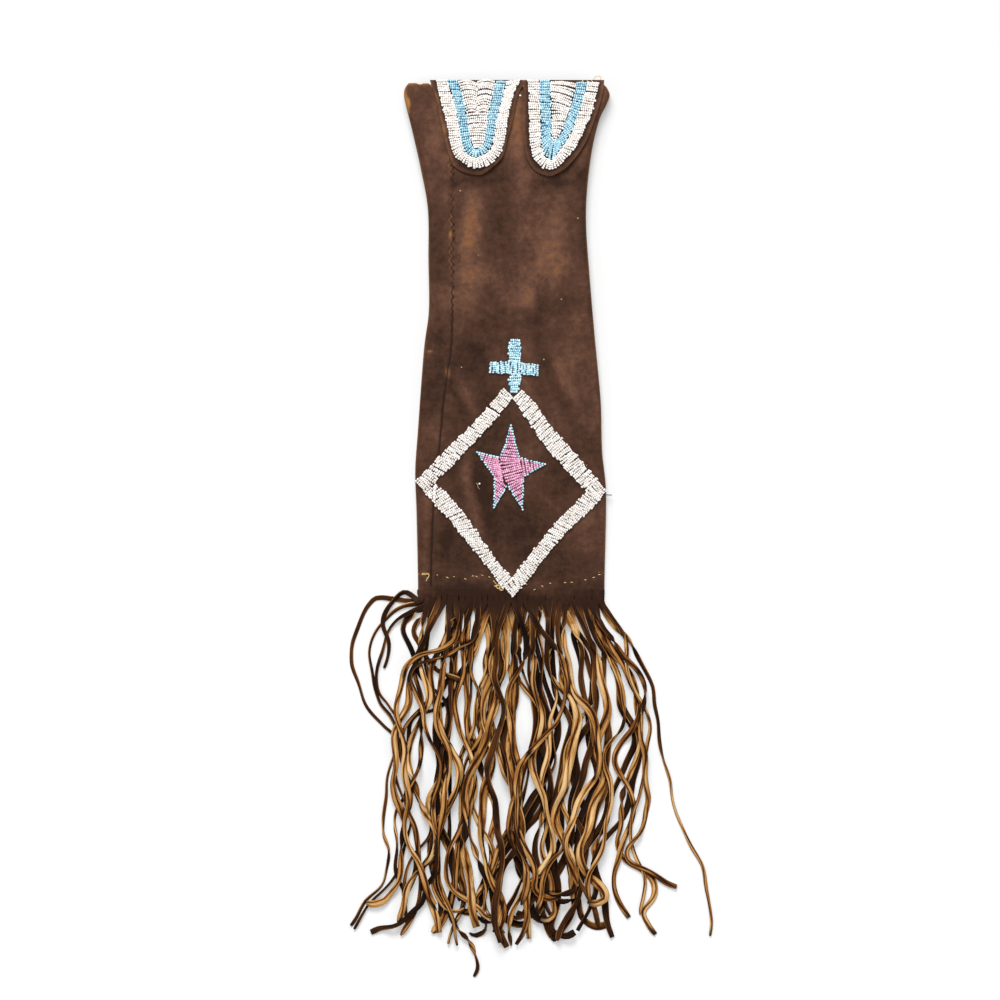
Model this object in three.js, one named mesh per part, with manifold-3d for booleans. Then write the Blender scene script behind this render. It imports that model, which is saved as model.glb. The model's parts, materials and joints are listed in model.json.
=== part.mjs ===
// Beaded pipe bag: a long flat hide pouch lying on its back, open at the mouth, with beaded flaps sewn
// along the rim, a beaded cross, diamond and star on the front, and a foot cut into a thong fringe.
// Millimetres. X to the right, Y towards the mouth, Z up. The origin is the middle of the pouch's back.
import * as THREE from 'three';
import { mergeVertices } from 'three/addons/utils/BufferGeometryUtils.js';
import Module from 'manifold-3d';

const { lerp, smoothstep, degToRad } = THREE.MathUtils;

// Hide
const hideThickness = 1.5;
const clearance = 0.3; // gap between neighbouring pieces
const meshTolerance = 0.05; // slivers under this are merged away

// Pouch, with heights measured up from its hem
const pouchLength = 394;
const rimWidth = 163;
const waistWidth = 126;
const bellyWidth = 151;
const hemWidth = 149;
const waistHeight = 275;
const bellyHeight = 75;
const flareSharpness = 1.6; // how late the sides swing out between waist and rim
const rimLean = -4.2; // sideways stray of the pouch's middle line
const hemLean = -0.9;
const leanStart = 180;
const pouchLoft = 13; // thickness of the pouch as it lies
const riseLength = 205; // height at which the front reaches its full loft
const foldSharpness = 0.7; // reach of a side fold over its radius
const foldSteps = 6;
const hemAllowance = 10; // sewn-up foot of the pouch, below the inside

// Side seam, a shallow groove down the left of the front
const seamInsetRim = 20;
const seamInsetHem = 10.5;
const seamStraightens = 150;
const seamWidth = 3;
const seamDepth = 0.5;

// Fringe, the foot of both panels cut into thongs
const headerLength = 18; // uncut hide below the hem
const thongCount = 32; // in each panel
const slitWidth = 0.5;
const thongWidth = 4.4; // below the root
const fringeLength = 230; // of the shortest thongs, root to tip
const fringeRagged = 46; // how much longer the longest ones are
const startReach = 6; // how far at most a thong sets off aside of its root
const startGrowth = 0.12; // share of a thong's length by which it has done so
const waveReach = 6; // sideways wave of a thong
const waveStart = 0.05; // shares of a thong's length between which its wave grows
const waveGrowth = 0.35;
const fewestWaves = 1.2; // along one thong
const mostWaves = 2.8;
const wanderReach = 8; // how far at most a thong strays from the crowd by its tip
const hookReach = 13; // how far at most a tip turns aside
const hookStart = 0.72; // share of a thong's length at which its tip turns
const rollStart = 0.1; // shares of a thong's length between which it takes its lower width
const rollEnd = 0.3;
const layerRamp = 24; // length over which thongs settle on one another
const rampStart = { front: 0, back: 20 }; // the back ones rise when the front ones are out of the way
const layerCount = 3; // layers that the thongs of one panel take in turn
const panelLayers = { front: 3, back: 0 }; // lowest layer that a panel's thongs lie in
const panelSeeds = { front: 11, back: 71 };
const seedStep = 3.7;
const routePoints = 8; // along a thong below its root

// How far the crowd of thongs leans aside, at even steps from root to tip
const crowdLean = {
  front: { left: [0, -10, -19, -20, -23, -20], middle: [0, -3, -5, -4, -6, -2], right: [0, 20, 38, 34, 15, 18] },
  back: { left: [0, -8, -17, -13, -12, -10], middle: [0, 2, 4, 1, -3, -7], right: [0, 22, 37, 25, -2, -4] },
};

// Bends that neighbouring thongs share, with the width of a bunch of neighbours
const sharedBends = [
  { reach: 5, waves: 1.4, bunch: 70 },
  { reach: 3.5, waves: 2.3, bunch: -43 },
];
const bendGrowth = 0.3; // share of a thong's length over which its bends grow
const bendPhase = { front: 0.1, back: 0.55 };

// Beadwork
const beadHeight = 1.8;
const beadWidth = 2;
const ridgePitch = 3.9; // a ridge is a pair of bead rows
const rowDip = 0.6; // valley between ridges, below their crests

// Flaps, measured from the hinge line along the rim
const flapThickness = 1.4;
const flapLength = 76;
const flapSplit = 8.4; // middle of the gap between the flaps
const flapGap = 4;
const leftFlapWidth = 72;
const leftTipWidth = 46;
const leftTipShift = 1;
const rightFlapWidth = 63;
const rightTipWidth = 47;
const rightTipShift = -8.4;
const tipRoundness = 0.9; // height of a tip over half its width
const tipFullness = 0.55; // 0.55 makes a tip's curve round
const flapMargin = 4.4; // bare hide around the beads
const hingeMargin = 2.4; // bare hide above the beads
const whiteLaneWidth = 9.4;
const blueLaneWidth = 7.4;

// Diamond, by the middle lines of its lanes, with heights above the hem
const diamondTopHeight = 149.5;
const diamondFootHeight = -8.8;
const leftCornerHeight = 77;
const rightCornerHeight = 68;
const cornerInset = 7.6; // from the pouch's side to a side corner
const diamondMiddle = 0.4;
const diamondLaneWidth = 11;

// Cross, standing on the diamond
const crossHeight = 43;
const crossSpan = 39;
const crossStemWidth = 9;
const crossBarWidth = 9.6;
const crossBarDrop = 24; // from the top of the stem to the middle of the bar
const crossMiddle = 1.9;
const crossBarTilt = -3.9; // degrees

// Star, by the bearing and reach of each arm from its middle
const starMiddle = -1.6;
const starHeight = 88;
const notchReach = 14;
const starArms = [
  { name: 'top', bearing: 89, reach: 34.5 },
  { name: 'left', bearing: 155, reach: 30 },
  { name: 'lower_left', bearing: 250, reach: 35.5 },
  { name: 'lower_right', bearing: 286, reach: 37 },
  { name: 'right', bearing: 365, reach: 29.5 },
];

// Colours and finishes
const hideFinish = { color: '#4d3529', roughness: 0.8, metalness: 0 };
const fringeFinish = { color: '#8a5f33', roughness: 0.85, metalness: 0 };
const whiteFinish = { color: '#f3f0ea', roughness: 0.25, metalness: 0 };
const blueFinish = { color: '#8cc9e0', roughness: 0.25, metalness: 0 };
const pinkFinish = { color: '#c07fa6', roughness: 0.25, metalness: 0 };

// Sizes that follow from the ones above
const layerPitch = hideThickness + clearance;
const hemThickness = 2 * hideThickness + clearance;
const frontSlope = (pouchLoft - hemThickness) / (riseLength + headerLength);
const thongPitch = hemWidth / thongCount;
const rootWidth = thongPitch - slitWidth;
const hingeHeight = pouchLoft + clearance + flapThickness / 2;

// Thongs that part from the crowd, by panel and place from the left, as points past the root
const strayThongs = {
  back: {
    0: [[-103, -17], [-113, -21], [-123, -36], [-127.5, -62], [-127, -76], [-118, -98], [-103, -120],
      [-89, -136], [-86, -170], [-94, -202], [-91, -234], [-86, -262]],
    1: [[-86, -23], [-98, -30], [-108, -42], [-113, -62], [-112, -84], [-106, -98], [-96, -112],
      [-93, -134], [-103, -182], [-102, -202], [-98, -218], [-102, -234], [-105, -248], [-117, -261],
      [-130, -278]],
    2: [[-81, -28], [-93, -36], [-102, -50], [-108, -73], [-106, -90], [-98, -103], [-90, -122],
      [-92, -154], [-88, -178], [-81, -198], [-86, -222], [-98, -242], [-112, -262], [-127, -281]],
    12: [[-30, -60], [-38, -110], [-30, -160], [-42, -210], [-48, -262], [-43, -278], [-37, -289],
      [-32, -300], [-28, -312], [-30, -320]],
    29: [[74, -50], [90, -73], [101, -98], [102, -126], [96, -154], [88, -182], [84, -210], [93, -226],
      [109, -239], [113, -253], [106, -267], [110, -276], [116, -285]],
    31: [[76, -30], [85, -42], [96, -54], [105, -68], [111, -86], [113, -102], [117, -119], [121, -138],
      [124, -162], [130, -184], [138, -201], [146, -221], [153, -240], [159, -259], [160, -274], [158, -287]],
  },
  front: {
    0: [[-86, -12], [-97, -22], [-102, -36], [-100, -54], [-102, -73]],
    5: [[-52, -60], [-60, -110], [-50, -150], [-58, -200], [-60, -231], [-69, -246], [-72, -261],
      [-84, -273], [-94, -278], [-106, -280], [-113, -284]],
    6: [[-43, -38], [-46, -49], [-56, -56], [-72, -64], [-85, -72], [-90, -84], [-91, -102], [-89, -126],
      [-86, -146], [-83, -170], [-86, -194], [-80, -218], [-70, -242], [-61, -262]],
    10: [[-30, -48], [-45, -57], [-62, -66], [-76, -73], [-81, -82], [-78, -95], [-71, -108], [-66, -126],
      [-58, -154], [-62, -190], [-58, -231], [-56, -246], [-51, -267], [-46, -282], [-42, -294]],
    18: [[22, -40], [36, -60], [44, -88], [38, -112], [20, -132], [6, -156], [2, -190], [10, -226], [8, -262]],
    30: [[70, -36], [84, -54], [98, -73], [105, -90], [106, -110], [102, -130], [106, -150], [110, -174],
      [105, -188], [102, -204], [94, -220], [97, -229], [110, -238], [122, -244], [132, -246]],
  },
};

const wasm = await Module();
wasm.setup();

// A closed solid through rings of equally many points, capped at the first and the last ring
function loft(rings) {
  const sides = rings[0].length;
  const index = [];
  for (let i = 0; i + 1 < rings.length; i += 1) {
    for (let j = 0; j < sides; j += 1) {
      const a = i * sides + j;
      const b = i * sides + ((j + 1) % sides);
      index.push(a, a + sides, b + sides, a, b + sides, b);
    }
  }
  const last = (rings.length - 1) * sides;
  capFaces(rings[0]).forEach(([a, b, c]) => index.push(a, b, c));
  capFaces(rings[rings.length - 1]).forEach(([a, b, c]) => index.push(last + a, last + c, last + b));
  const geometry = new THREE.BufferGeometry().setFromPoints(rings.flat());
  geometry.setIndex(index);
  return faceOutward(geometry);
}

// The faces that close a ring, all turning the way the ring runs
function capFaces(ring) {
  if (ring.length === 4) {
    return [[0, 1, 2], [0, 2, 3]];
  }
  const contour = ring.map((point) => new THREE.Vector2(point.x, point.z));
  const turn = THREE.ShapeUtils.area(contour);
  return THREE.ShapeUtils.triangulateShape(contour, []).map((face) => {
    const faceTurn = THREE.ShapeUtils.area(face.map((k) => contour[k]));
    return faceTurn * turn < 0 ? [...face].reverse() : face;
  });
}

// Turns every face over when the solid is inside out
function faceOutward(geometry) {
  const at = (k) => new THREE.Vector3().fromBufferAttribute(geometry.attributes.position, k);
  const order = geometry.index.array;
  let volume = 0;
  for (let k = 0; k < order.length; k += 3) {
    volume += at(order[k]).dot(at(order[k + 1]).cross(at(order[k + 2])));
  }
  if (volume < 0) {
    geometry.setIndex(Array.from(order).reverse());
  }
  return geometry;
}

function toSolid(geometry) {
  const bare = geometry.clone();
  bare.deleteAttribute('normal');
  bare.deleteAttribute('uv');
  const merged = mergeVertices(bare);
  return new wasm.Manifold(new wasm.Mesh({
    numProp: 3,
    vertProperties: new Float32Array(merged.attributes.position.array),
    triVerts: new Uint32Array(merged.index.array),
  }));
}

function toGeometry(solid) {
  const mesh = solid.getMesh();
  const geometry = new THREE.BufferGeometry();
  geometry.setAttribute('position', new THREE.BufferAttribute(mesh.vertProperties, 3));
  geometry.setIndex(new THREE.BufferAttribute(mesh.triVerts, 1));
  return geometry;
}

function addPiece(group, name, geometry, finish) {
  const mesh = new THREE.Mesh(geometry, new THREE.MeshStandardMaterial(finish));
  mesh.name = name;
  group.add(mesh);
}

// The same unsteady number, from 0 to 1, for the same seed
function scatter(seed) {
  const swing = Math.sin(seed * 12.9898) * 43758.5453;
  return swing - Math.floor(swing);
}

// Pouch outline and front
function pouchWidth(y) {
  if (y <= bellyHeight) {
    return lerp(hemWidth, bellyWidth, smoothstep(y, 0, bellyHeight));
  }
  if (y <= waistHeight) {
    return lerp(bellyWidth, waistWidth, smoothstep(y, bellyHeight, waistHeight));
  }
  const flare = (y - waistHeight) / (pouchLength - waistHeight);
  return lerp(waistWidth, rimWidth, flare ** flareSharpness);
}

function pouchMiddle(y) {
  return lerp(hemLean, rimLean, smoothstep(y, leanStart, waistHeight));
}

function frontHeight(y) {
  return Math.min(pouchLoft, hemThickness + frontSlope * (y + headerLength));
}

// One section of the pouch, set in from its outside by the given wall
function pouchSection(y, wall, groove) {
  const half = pouchWidth(y) / 2 - wall;
  const radius = frontHeight(y) / 2 - wall;
  const fold = radius * foldSharpness;
  const middle = pouchMiddle(y);
  const top = wall + 2 * radius;
  const ring = [];
  const addFold = (side, from, to) => {
    for (let k = 0; k <= foldSteps; k += 1) {
      const angle = degToRad(lerp(from, to, k / foldSteps));
      const x = middle + side * (half - fold + fold * Math.cos(angle));
      ring.push(new THREE.Vector3(x, y, wall + radius + radius * Math.sin(angle)));
    }
  };
  const seamInset = lerp(seamInsetHem, seamInsetRim, smoothstep(y, 0, seamStraightens));
  const seam = middle - pouchWidth(y) / 2 + seamInset;
  addFold(1, -90, 90);
  ring.push(new THREE.Vector3(seam + seamWidth / 2, y, top));
  ring.push(new THREE.Vector3(seam, y, top - groove));
  ring.push(new THREE.Vector3(seam - seamWidth / 2, y, top));
  addFold(-1, 90, -90);
  return ring;
}

// The pouch is lofted up its outside, over the rim and down its inside
function makePouch() {
  const lowSteps = 6;
  const highSteps = 8;
  const stations = (foot) => {
    const heights = [];
    for (let k = 0; k < lowSteps; k += 1) {
      heights.push(lerp(foot, riseLength, k / lowSteps));
    }
    for (let k = 0; k <= highSteps; k += 1) {
      heights.push(lerp(riseLength, pouchLength, k / highSteps));
    }
    return heights;
  };
  const outside = stations(0).map((y) => pouchSection(y, 0, seamDepth));
  const inside = stations(hemAllowance).map((y) => pouchSection(y, hideThickness, 0));
  return loft([...outside, ...inside.reverse()]);
}

// How far the crowd leans at a share of its length, for a place from -1 at the left to 1 at the right
function crowdShift(panel, across, along) {
  const at = (leans) => {
    const step = along * (leans.length - 1);
    const before = Math.min(Math.floor(step), leans.length - 2);
    return lerp(leans[before], leans[before + 1], step - before);
  };
  const { left, middle, right } = crowdLean[panel];
  const tilt = (at(right) - at(left)) / 2;
  const bow = (at(right) + at(left)) / 2 - at(middle);
  return at(middle) + across * tilt + across ** 2 * bow;
}

// A thong's route on the ground, from inside the header to its tip
function thongRoute(panel, place) {
  const seed = place * seedStep + panelSeeds[panel];
  const across = (2 * place + 1) / thongCount - 1;
  const rootX = hemLean + (across * hemWidth) / 2;
  const rootY = -headerLength - rootWidth / 2;
  const route = [[rootX, -headerLength + hideThickness], [rootX, rootY]];
  const stray = strayThongs[panel][place];
  if (stray) {
    return route.concat(stray);
  }
  const eitherWay = (draw, reach) => (2 * scatter(seed + draw) - 1) * reach;
  const swing = (turns) => Math.sin(2 * Math.PI * turns);
  const length = fringeLength + fringeRagged * scatter(seed + 1);
  const waves = lerp(fewestWaves, mostWaves, scatter(seed + 2));
  const phase = scatter(seed + 3);
  const wander = eitherWay(4, wanderReach);
  const hook = eitherWay(5, hookReach);
  const start = eitherWay(6, startReach);
  for (let k = 1; k <= routePoints; k += 1) {
    const along = k / routePoints;
    let x = rootX + crowdShift(panel, across, along) + wander * along;
    x += start * smoothstep(along, 0, startGrowth) + hook * smoothstep(along, hookStart, 1);
    x += waveReach * smoothstep(along, waveStart, waveGrowth) * swing(waves * along + phase);
    sharedBends.forEach((bend) => {
      const turns = bend.waves * along + rootX / bend.bunch + bendPhase[panel];
      x += bend.reach * smoothstep(along, 0, bendGrowth) * swing(turns);
    });
    route.push([x, rootY - along * length]);
  }
  return route;
}

// A flat thong along its route, at its own layer of the fringe
function makeThong(panel, place) {
  const headerFoot = panel === 'front' ? layerPitch : 0;
  const onTop = panel === 'front' && place in strayThongs.front;
  const layer = panelLayers[panel] + (onTop ? layerCount : place % layerCount);
  const route = thongRoute(panel, place).map(([x, y]) => new THREE.Vector2(x, y));
  const curve = new THREE.SplineCurve(route);
  const steps = route.length;
  const rings = [];
  for (let k = 0; k <= steps; k += 1) {
    const middle = curve.getPoint(k / steps);
    const ahead = curve.getTangent(k / steps);
    const half = lerp(rootWidth, thongWidth, smoothstep(k / steps, rollStart, rollEnd)) / 2;
    const below = -headerLength - middle.y - rampStart[panel];
    const settled = smoothstep(below, 0, layerRamp);
    const foot = lerp(headerFoot, layer * layerPitch, settled);
    const left = [middle.x + ahead.y * half, middle.y - ahead.x * half];
    const right = [middle.x - ahead.y * half, middle.y + ahead.x * half];
    rings.push(band(left, right, foot, foot + hideThickness));
  }
  return loft(rings);
}

// One upright four-cornered section between two points on the ground
function band([leftX, leftY], [rightX, rightY], foot, top) {
  return [
    new THREE.Vector3(leftX, leftY, foot),
    new THREE.Vector3(leftX, leftY, top),
    new THREE.Vector3(rightX, rightY, top),
    new THREE.Vector3(rightX, rightY, foot),
  ];
}

// A panel's uncut header with all its thongs
function makeFringe(panel) {
  const left = hemLean - hemWidth / 2;
  const right = hemLean + hemWidth / 2;
  const section = (y) => {
    const foot = panel === 'front' ? frontHeight(y) - hideThickness : 0;
    return band([left, y], [right, y], foot, foot + hideThickness);
  };
  let solid = toSolid(loft([section(-headerLength), section(-clearance)]));
  for (let place = 0; place < thongCount; place += 1) {
    solid = solid.add(toSolid(makeThong(panel, place)));
  }
  // Pockets shut in between crossing thongs are filled
  const shells = solid.decompose().filter((shell) => shell.volume() > 0);
  return toGeometry(wasm.Manifold.union(shells).simplify(meshTolerance));
}

// A ridged strip of beadwork between two rails of equally many points, standing on z = 0
function ridgedStrip(leftRail, rightRail) {
  const rings = leftRail.map((left, k) => {
    const top = beadHeight - (k % 2 === 0 ? rowDip : 0);
    return band([left.x, left.y], [rightRail[k].x, rightRail[k].y], 0, top);
  });
  return loft(rings);
}

function ridgeCount(length) {
  return Math.max(1, Math.round(length / ridgePitch));
}

// Points along a curve, two for each ridge of beadwork
function railPoints(curve, ridges) {
  return curve.getSpacedPoints(2 * ridges);
}

// A straight lane of beadwork, of one width or tapered
function straightLane(start, end, startWidth, endWidth) {
  const ahead = end.clone().sub(start).normalize();
  const aside = new THREE.Vector2(-ahead.y, ahead.x);
  const ridges = ridgeCount(start.distanceTo(end));
  const rail = (side) => {
    const from = start.clone().addScaledVector(aside, (side * startWidth) / 2);
    const to = end.clone().addScaledVector(aside, (side * endWidth) / 2);
    return railPoints(new THREE.LineCurve(from, to), ridges);
  };
  return ridgedStrip(rail(1), rail(-1));
}

// A flap's tongue outline, set in by the given margin: left side, two halves of the tip, right side
function tongue(flap, inset, start) {
  const halfHinge = flap.width / 2 - inset;
  const halfTip = Math.max(flap.tipWidth / 2 - inset, beadWidth / 2);
  const tipY = inset - flapLength;
  const shoulderY = tipY + tipRoundness * halfTip;
  const tipX = flap.middle + flap.tipShift;
  const corner = (side) => new THREE.Vector2(flap.middle + side * halfHinge, -start);
  const shoulder = (side) => new THREE.Vector2(tipX + side * halfTip, shoulderY);
  const tip = new THREE.Vector2(tipX, tipY);
  const sideHandle = (side) => new THREE.Vector2(tipX + side * halfTip, lerp(shoulderY, tipY, tipFullness));
  const tipHandle = (side) => new THREE.Vector2(tipX + side * halfTip * tipFullness, tipY);
  return [
    new THREE.LineCurve(corner(-1), shoulder(-1)),
    new THREE.CubicBezierCurve(shoulder(-1), sideHandle(-1), tipHandle(-1), tip),
    new THREE.CubicBezierCurve(tip, tipHandle(1), sideHandle(1), shoulder(1)),
    new THREE.LineCurve(shoulder(1), corner(1)),
  ];
}

// A lane of beads that follows the tongue between two margins
function tongueLane(flap, outerInset, innerInset) {
  const outer = tongue(flap, outerInset, hingeMargin);
  const inner = tongue(flap, innerInset, hingeMargin);
  const rails = [[], []];
  outer.forEach((curve, k) => {
    const ridges = ridgeCount((curve.getLength() + inner[k].getLength()) / 2);
    const skip = k === 0 ? 0 : 1;
    rails[0].push(...railPoints(curve, ridges).slice(skip));
    rails[1].push(...railPoints(inner[k], ridges).slice(skip));
  });
  return ridgedStrip(rails[0], rails[1]);
}

// The rows across the middle of a flap
function tongueFill(flap, inset) {
  const [leftSide, , , rightSide] = tongue(flap, inset, hingeMargin);
  const ridges = ridgeCount(leftSide.getLength());
  return ridgedStrip(railPoints(leftSide, ridges), railPoints(rightSide, ridges).reverse());
}

// The leaf of hide with its rolled edge on the hinge line
function flapLeaf(flap) {
  const outline = new THREE.CurvePath();
  tongue(flap, 0, 0).forEach((curve) => outline.add(curve));
  const tipPoints = 8;
  const rollSides = 12;
  const shape = new THREE.Shape(outline.getPoints(tipPoints));
  const leaf = new THREE.ExtrudeGeometry(shape, { depth: flapThickness, bevelEnabled: false });
  leaf.translate(0, 0, -flapThickness / 2);
  const roll = new THREE.CylinderGeometry(flapThickness / 2, flapThickness / 2, flap.width, rollSides);
  roll.rotateZ(Math.PI / 2);
  roll.translate(flap.middle, 0, 0);
  return toGeometry(toSolid(leaf).add(toSolid(roll)));
}

function addFlap(bag, flap) {
  const hinge = new THREE.Group();
  hinge.position.set(0, pouchLength + flapThickness / 2, hingeHeight);
  const beads = new THREE.Group();
  beads.position.z = flapThickness / 2 + clearance;
  const whiteInner = flapMargin + whiteLaneWidth;
  const blueOuter = whiteInner + clearance;
  const blueInner = blueOuter + blueLaneWidth;
  addPiece(hinge, `${flap.name}_flap`, flapLeaf(flap), hideFinish);
  addPiece(beads, `${flap.name}_flap_white_beads`, tongueLane(flap, flapMargin, whiteInner), whiteFinish);
  addPiece(beads, `${flap.name}_flap_blue_beads`, tongueLane(flap, blueOuter, blueInner), blueFinish);
  addPiece(beads, `${flap.name}_flap_fill_beads`, tongueFill(flap, blueInner + clearance), whiteFinish);
  hinge.add(beads);
  bag.add(hinge);
}

// Where a diamond lane stops so that it butts against the lane that runs through the same corner
function buttTrim(angle) {
  return ((diamondLaneWidth / 2) * (1 + Math.abs(Math.cos(angle))) + clearance) / Math.sin(angle);
}

// Where both lanes stop at the top corner so that their inner ends just meet
function meetingTrim(angle) {
  return ((diamondLaneWidth / 2) * Math.cos(angle / 2) + clearance / 2) / Math.sin(angle / 2);
}

function cornerAngle(before, corner, after) {
  return before.clone().sub(corner).angleTo(after.clone().sub(corner));
}

// The four lanes of the diamond, and the height at which the cross can stand between the upper two
function addDiamond(front) {
  const side = (sign, y) => pouchMiddle(y) + sign * (pouchWidth(y) / 2 - cornerInset);
  const top = new THREE.Vector2(diamondMiddle, diamondTopHeight);
  const left = new THREE.Vector2(side(-1, leftCornerHeight), leftCornerHeight);
  const right = new THREE.Vector2(side(1, rightCornerHeight), rightCornerHeight);
  const foot = new THREE.Vector2(diamondMiddle, diamondFootHeight);
  const through = -diamondLaneWidth / 2;
  const meeting = meetingTrim(cornerAngle(left, top, right));
  const lane = (name, from, fromTrim, to, toTrim) => {
    const ahead = to.clone().sub(from).normalize();
    const start = from.clone().addScaledVector(ahead, fromTrim);
    const end = to.clone().addScaledVector(ahead, -toTrim);
    const strip = straightLane(start, end, diamondLaneWidth, diamondLaneWidth);
    addPiece(front, `diamond_${name}_beads`, strip, whiteFinish);
  };
  const leftButt = buttTrim(cornerAngle(top, left, foot));
  const rightButt = buttTrim(cornerAngle(top, right, foot));
  const footButt = buttTrim(cornerAngle(left, foot, right));
  lane('upper_left', top, meeting, left, through);
  lane('upper_right', top, meeting, right, through);
  lane('lower_left', left, leftButt, foot, through);
  lane('lower_right', right, rightButt, foot, footButt);
  const notchHeight = (corner, sign) => {
    const ahead = corner.clone().sub(top).normalize();
    const inward = new THREE.Vector2(sign * ahead.y, -sign * ahead.x);
    const laneEnd = top.clone().addScaledVector(ahead, meeting).addScaledVector(inward, diamondLaneWidth / 2);
    const reach = sign * (crossMiddle - laneEnd.x) + crossStemWidth / 2 + clearance;
    return laneEnd.y + reach * Math.abs(ahead.x / ahead.y);
  };
  return Math.max(notchHeight(left, -1), notchHeight(right, 1)) + clearance;
}

// The stem of the cross in two lengths, above and below its bar
function addCross(front, footHeight) {
  const topHeight = footHeight + crossHeight;
  const barHeight = topHeight - crossBarDrop;
  const lean = Math.tan(degToRad(crossBarTilt));
  const barGap = crossBarWidth / 2 + (Math.abs(lean) * crossStemWidth) / 2 + clearance;
  const at = (x, y) => new THREE.Vector2(crossMiddle + x, y);
  const stem = (from, to) => straightLane(at(0, from), at(0, to), crossStemWidth, crossStemWidth);
  const reach = crossSpan / 2;
  const bar = straightLane(
    at(-reach, barHeight - reach * lean),
    at(reach, barHeight + reach * lean),
    crossBarWidth,
    crossBarWidth,
  );
  addPiece(front, 'cross_head_beads', stem(topHeight, barHeight + barGap), blueFinish);
  addPiece(front, 'cross_bar_beads', bar, blueFinish);
  addPiece(front, 'cross_foot_beads', stem(barHeight - barGap, footHeight), blueFinish);
}

// A closed outline set in by a margin, corner by corner
function insetOutline(points, margin) {
  return points.map((corner, k) => {
    const before = points[(k + points.length - 1) % points.length];
    const after = points[(k + 1) % points.length];
    const coming = corner.clone().sub(before).normalize();
    const going = after.clone().sub(corner).normalize();
    const turn = coming.cross(going);
    const shift = going.clone().sub(coming).multiplyScalar(margin / turn);
    return corner.clone().add(shift);
  });
}

function plate(points, holePoints) {
  const shape = new THREE.Shape(points);
  if (holePoints) {
    shape.holes.push(new THREE.Path(holePoints));
  }
  return new THREE.ExtrudeGeometry(shape, { depth: beadHeight - rowDip, bevelEnabled: false });
}

// Five tapered arms around a middle plate, with a single line of beads along the outline
function addStar(front) {
  const around = (bearing, reach) => new THREE.Vector2(
    starMiddle + reach * Math.cos(degToRad(bearing)),
    starHeight + reach * Math.sin(degToRad(bearing)),
  );
  const outline = starArms.flatMap((arm, k) => {
    const next = starArms[(k + 1) % starArms.length].bearing + (k + 1 === starArms.length ? 360 : 0);
    return [around(arm.bearing, arm.reach), around((arm.bearing + next) / 2, notchReach)];
  });
  const edge = insetOutline(outline, beadWidth);
  const field = insetOutline(outline, beadWidth + clearance);
  addPiece(front, 'star_edge_beads', plate(outline, edge), blueFinish);
  const notches = field.filter((point, k) => k % 2 === 1);
  addPiece(front, 'star_middle_beads', plate(insetOutline(notches, clearance)), pinkFinish);
  starArms.forEach((arm, k) => {
    const tip = field[2 * k];
    const before = field[(2 * k + field.length - 1) % field.length];
    const after = field[2 * k + 1];
    const ridges = ridgeCount(tip.distanceTo(before.clone().lerp(after, 0.5)));
    const bluntness = beadWidth / before.distanceTo(after);
    const rail = (root) => {
      const end = tip.clone().lerp(root, bluntness);
      return railPoints(new THREE.LineCurve(root, end), ridges);
    };
    addPiece(front, `star_${arm.name}_beads`, ridgedStrip(rail(before), rail(after)), pinkFinish);
  });
}

const bag = new THREE.Group();
bag.position.y = -pouchLength / 2;
addPiece(bag, 'pouch', makePouch(), hideFinish);
addPiece(bag, 'front_fringe', makeFringe('front'), fringeFinish);
addPiece(bag, 'back_fringe', makeFringe('back'), fringeFinish);

// The front panel's beadwork lies on its slope, with heights above the hem
const slope = new THREE.Group();
slope.position.set(0, -headerLength, hemThickness + clearance);
slope.rotation.x = Math.atan(frontSlope);
const front = new THREE.Group();
front.position.y = headerLength;
slope.add(front);
bag.add(slope);
addCross(front, addDiamond(front));
addStar(front);

addFlap(bag, {
  name: 'left',
  width: leftFlapWidth,
  middle: flapSplit - flapGap / 2 - leftFlapWidth / 2,
  tipWidth: leftTipWidth,
  tipShift: leftTipShift,
});
addFlap(bag, {
  name: 'right',
  width: rightFlapWidth,
  middle: flapSplit + flapGap / 2 + rightFlapWidth / 2,
  tipWidth: rightTipWidth,
  tipShift: rightTipShift,
});

export default bag;
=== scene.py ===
import json
import math

import bmesh
import bpy
import numpy as np
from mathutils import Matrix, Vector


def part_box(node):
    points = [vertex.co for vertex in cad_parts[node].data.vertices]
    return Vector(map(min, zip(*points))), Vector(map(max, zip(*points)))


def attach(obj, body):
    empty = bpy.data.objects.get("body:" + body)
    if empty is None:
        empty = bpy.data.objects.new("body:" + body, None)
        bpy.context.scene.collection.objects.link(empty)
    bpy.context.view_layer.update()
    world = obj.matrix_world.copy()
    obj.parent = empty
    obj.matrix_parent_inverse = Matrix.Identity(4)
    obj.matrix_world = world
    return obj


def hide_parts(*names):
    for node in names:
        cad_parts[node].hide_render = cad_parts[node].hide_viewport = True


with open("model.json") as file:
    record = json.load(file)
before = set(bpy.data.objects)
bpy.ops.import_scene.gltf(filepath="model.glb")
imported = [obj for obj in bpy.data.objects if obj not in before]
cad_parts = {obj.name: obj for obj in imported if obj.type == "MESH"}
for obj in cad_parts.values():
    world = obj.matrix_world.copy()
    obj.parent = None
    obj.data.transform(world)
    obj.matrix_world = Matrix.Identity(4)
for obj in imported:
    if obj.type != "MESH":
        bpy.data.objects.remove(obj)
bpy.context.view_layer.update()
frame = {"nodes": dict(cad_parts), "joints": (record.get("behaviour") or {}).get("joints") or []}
print("frame loaded,", len(frame["nodes"]), "solids")

# Places are in millimetres from the middle of the hem: x to the right, y up the bag, z up off the table
mm = 0.001
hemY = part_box("pouch")[0].y
rimY = (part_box("pouch")[1].y - hemY) / mm
hingeZ = frame["joints"][0]["pos_m"][2] / mm
hingeY = (frame["joints"][0]["pos_m"][1] - hemY) / mm
pixel = 0.8  # what a picture point covers on the bag
hemPoint = np.array([512, 577])  # the middle of the hem, in picture points


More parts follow.
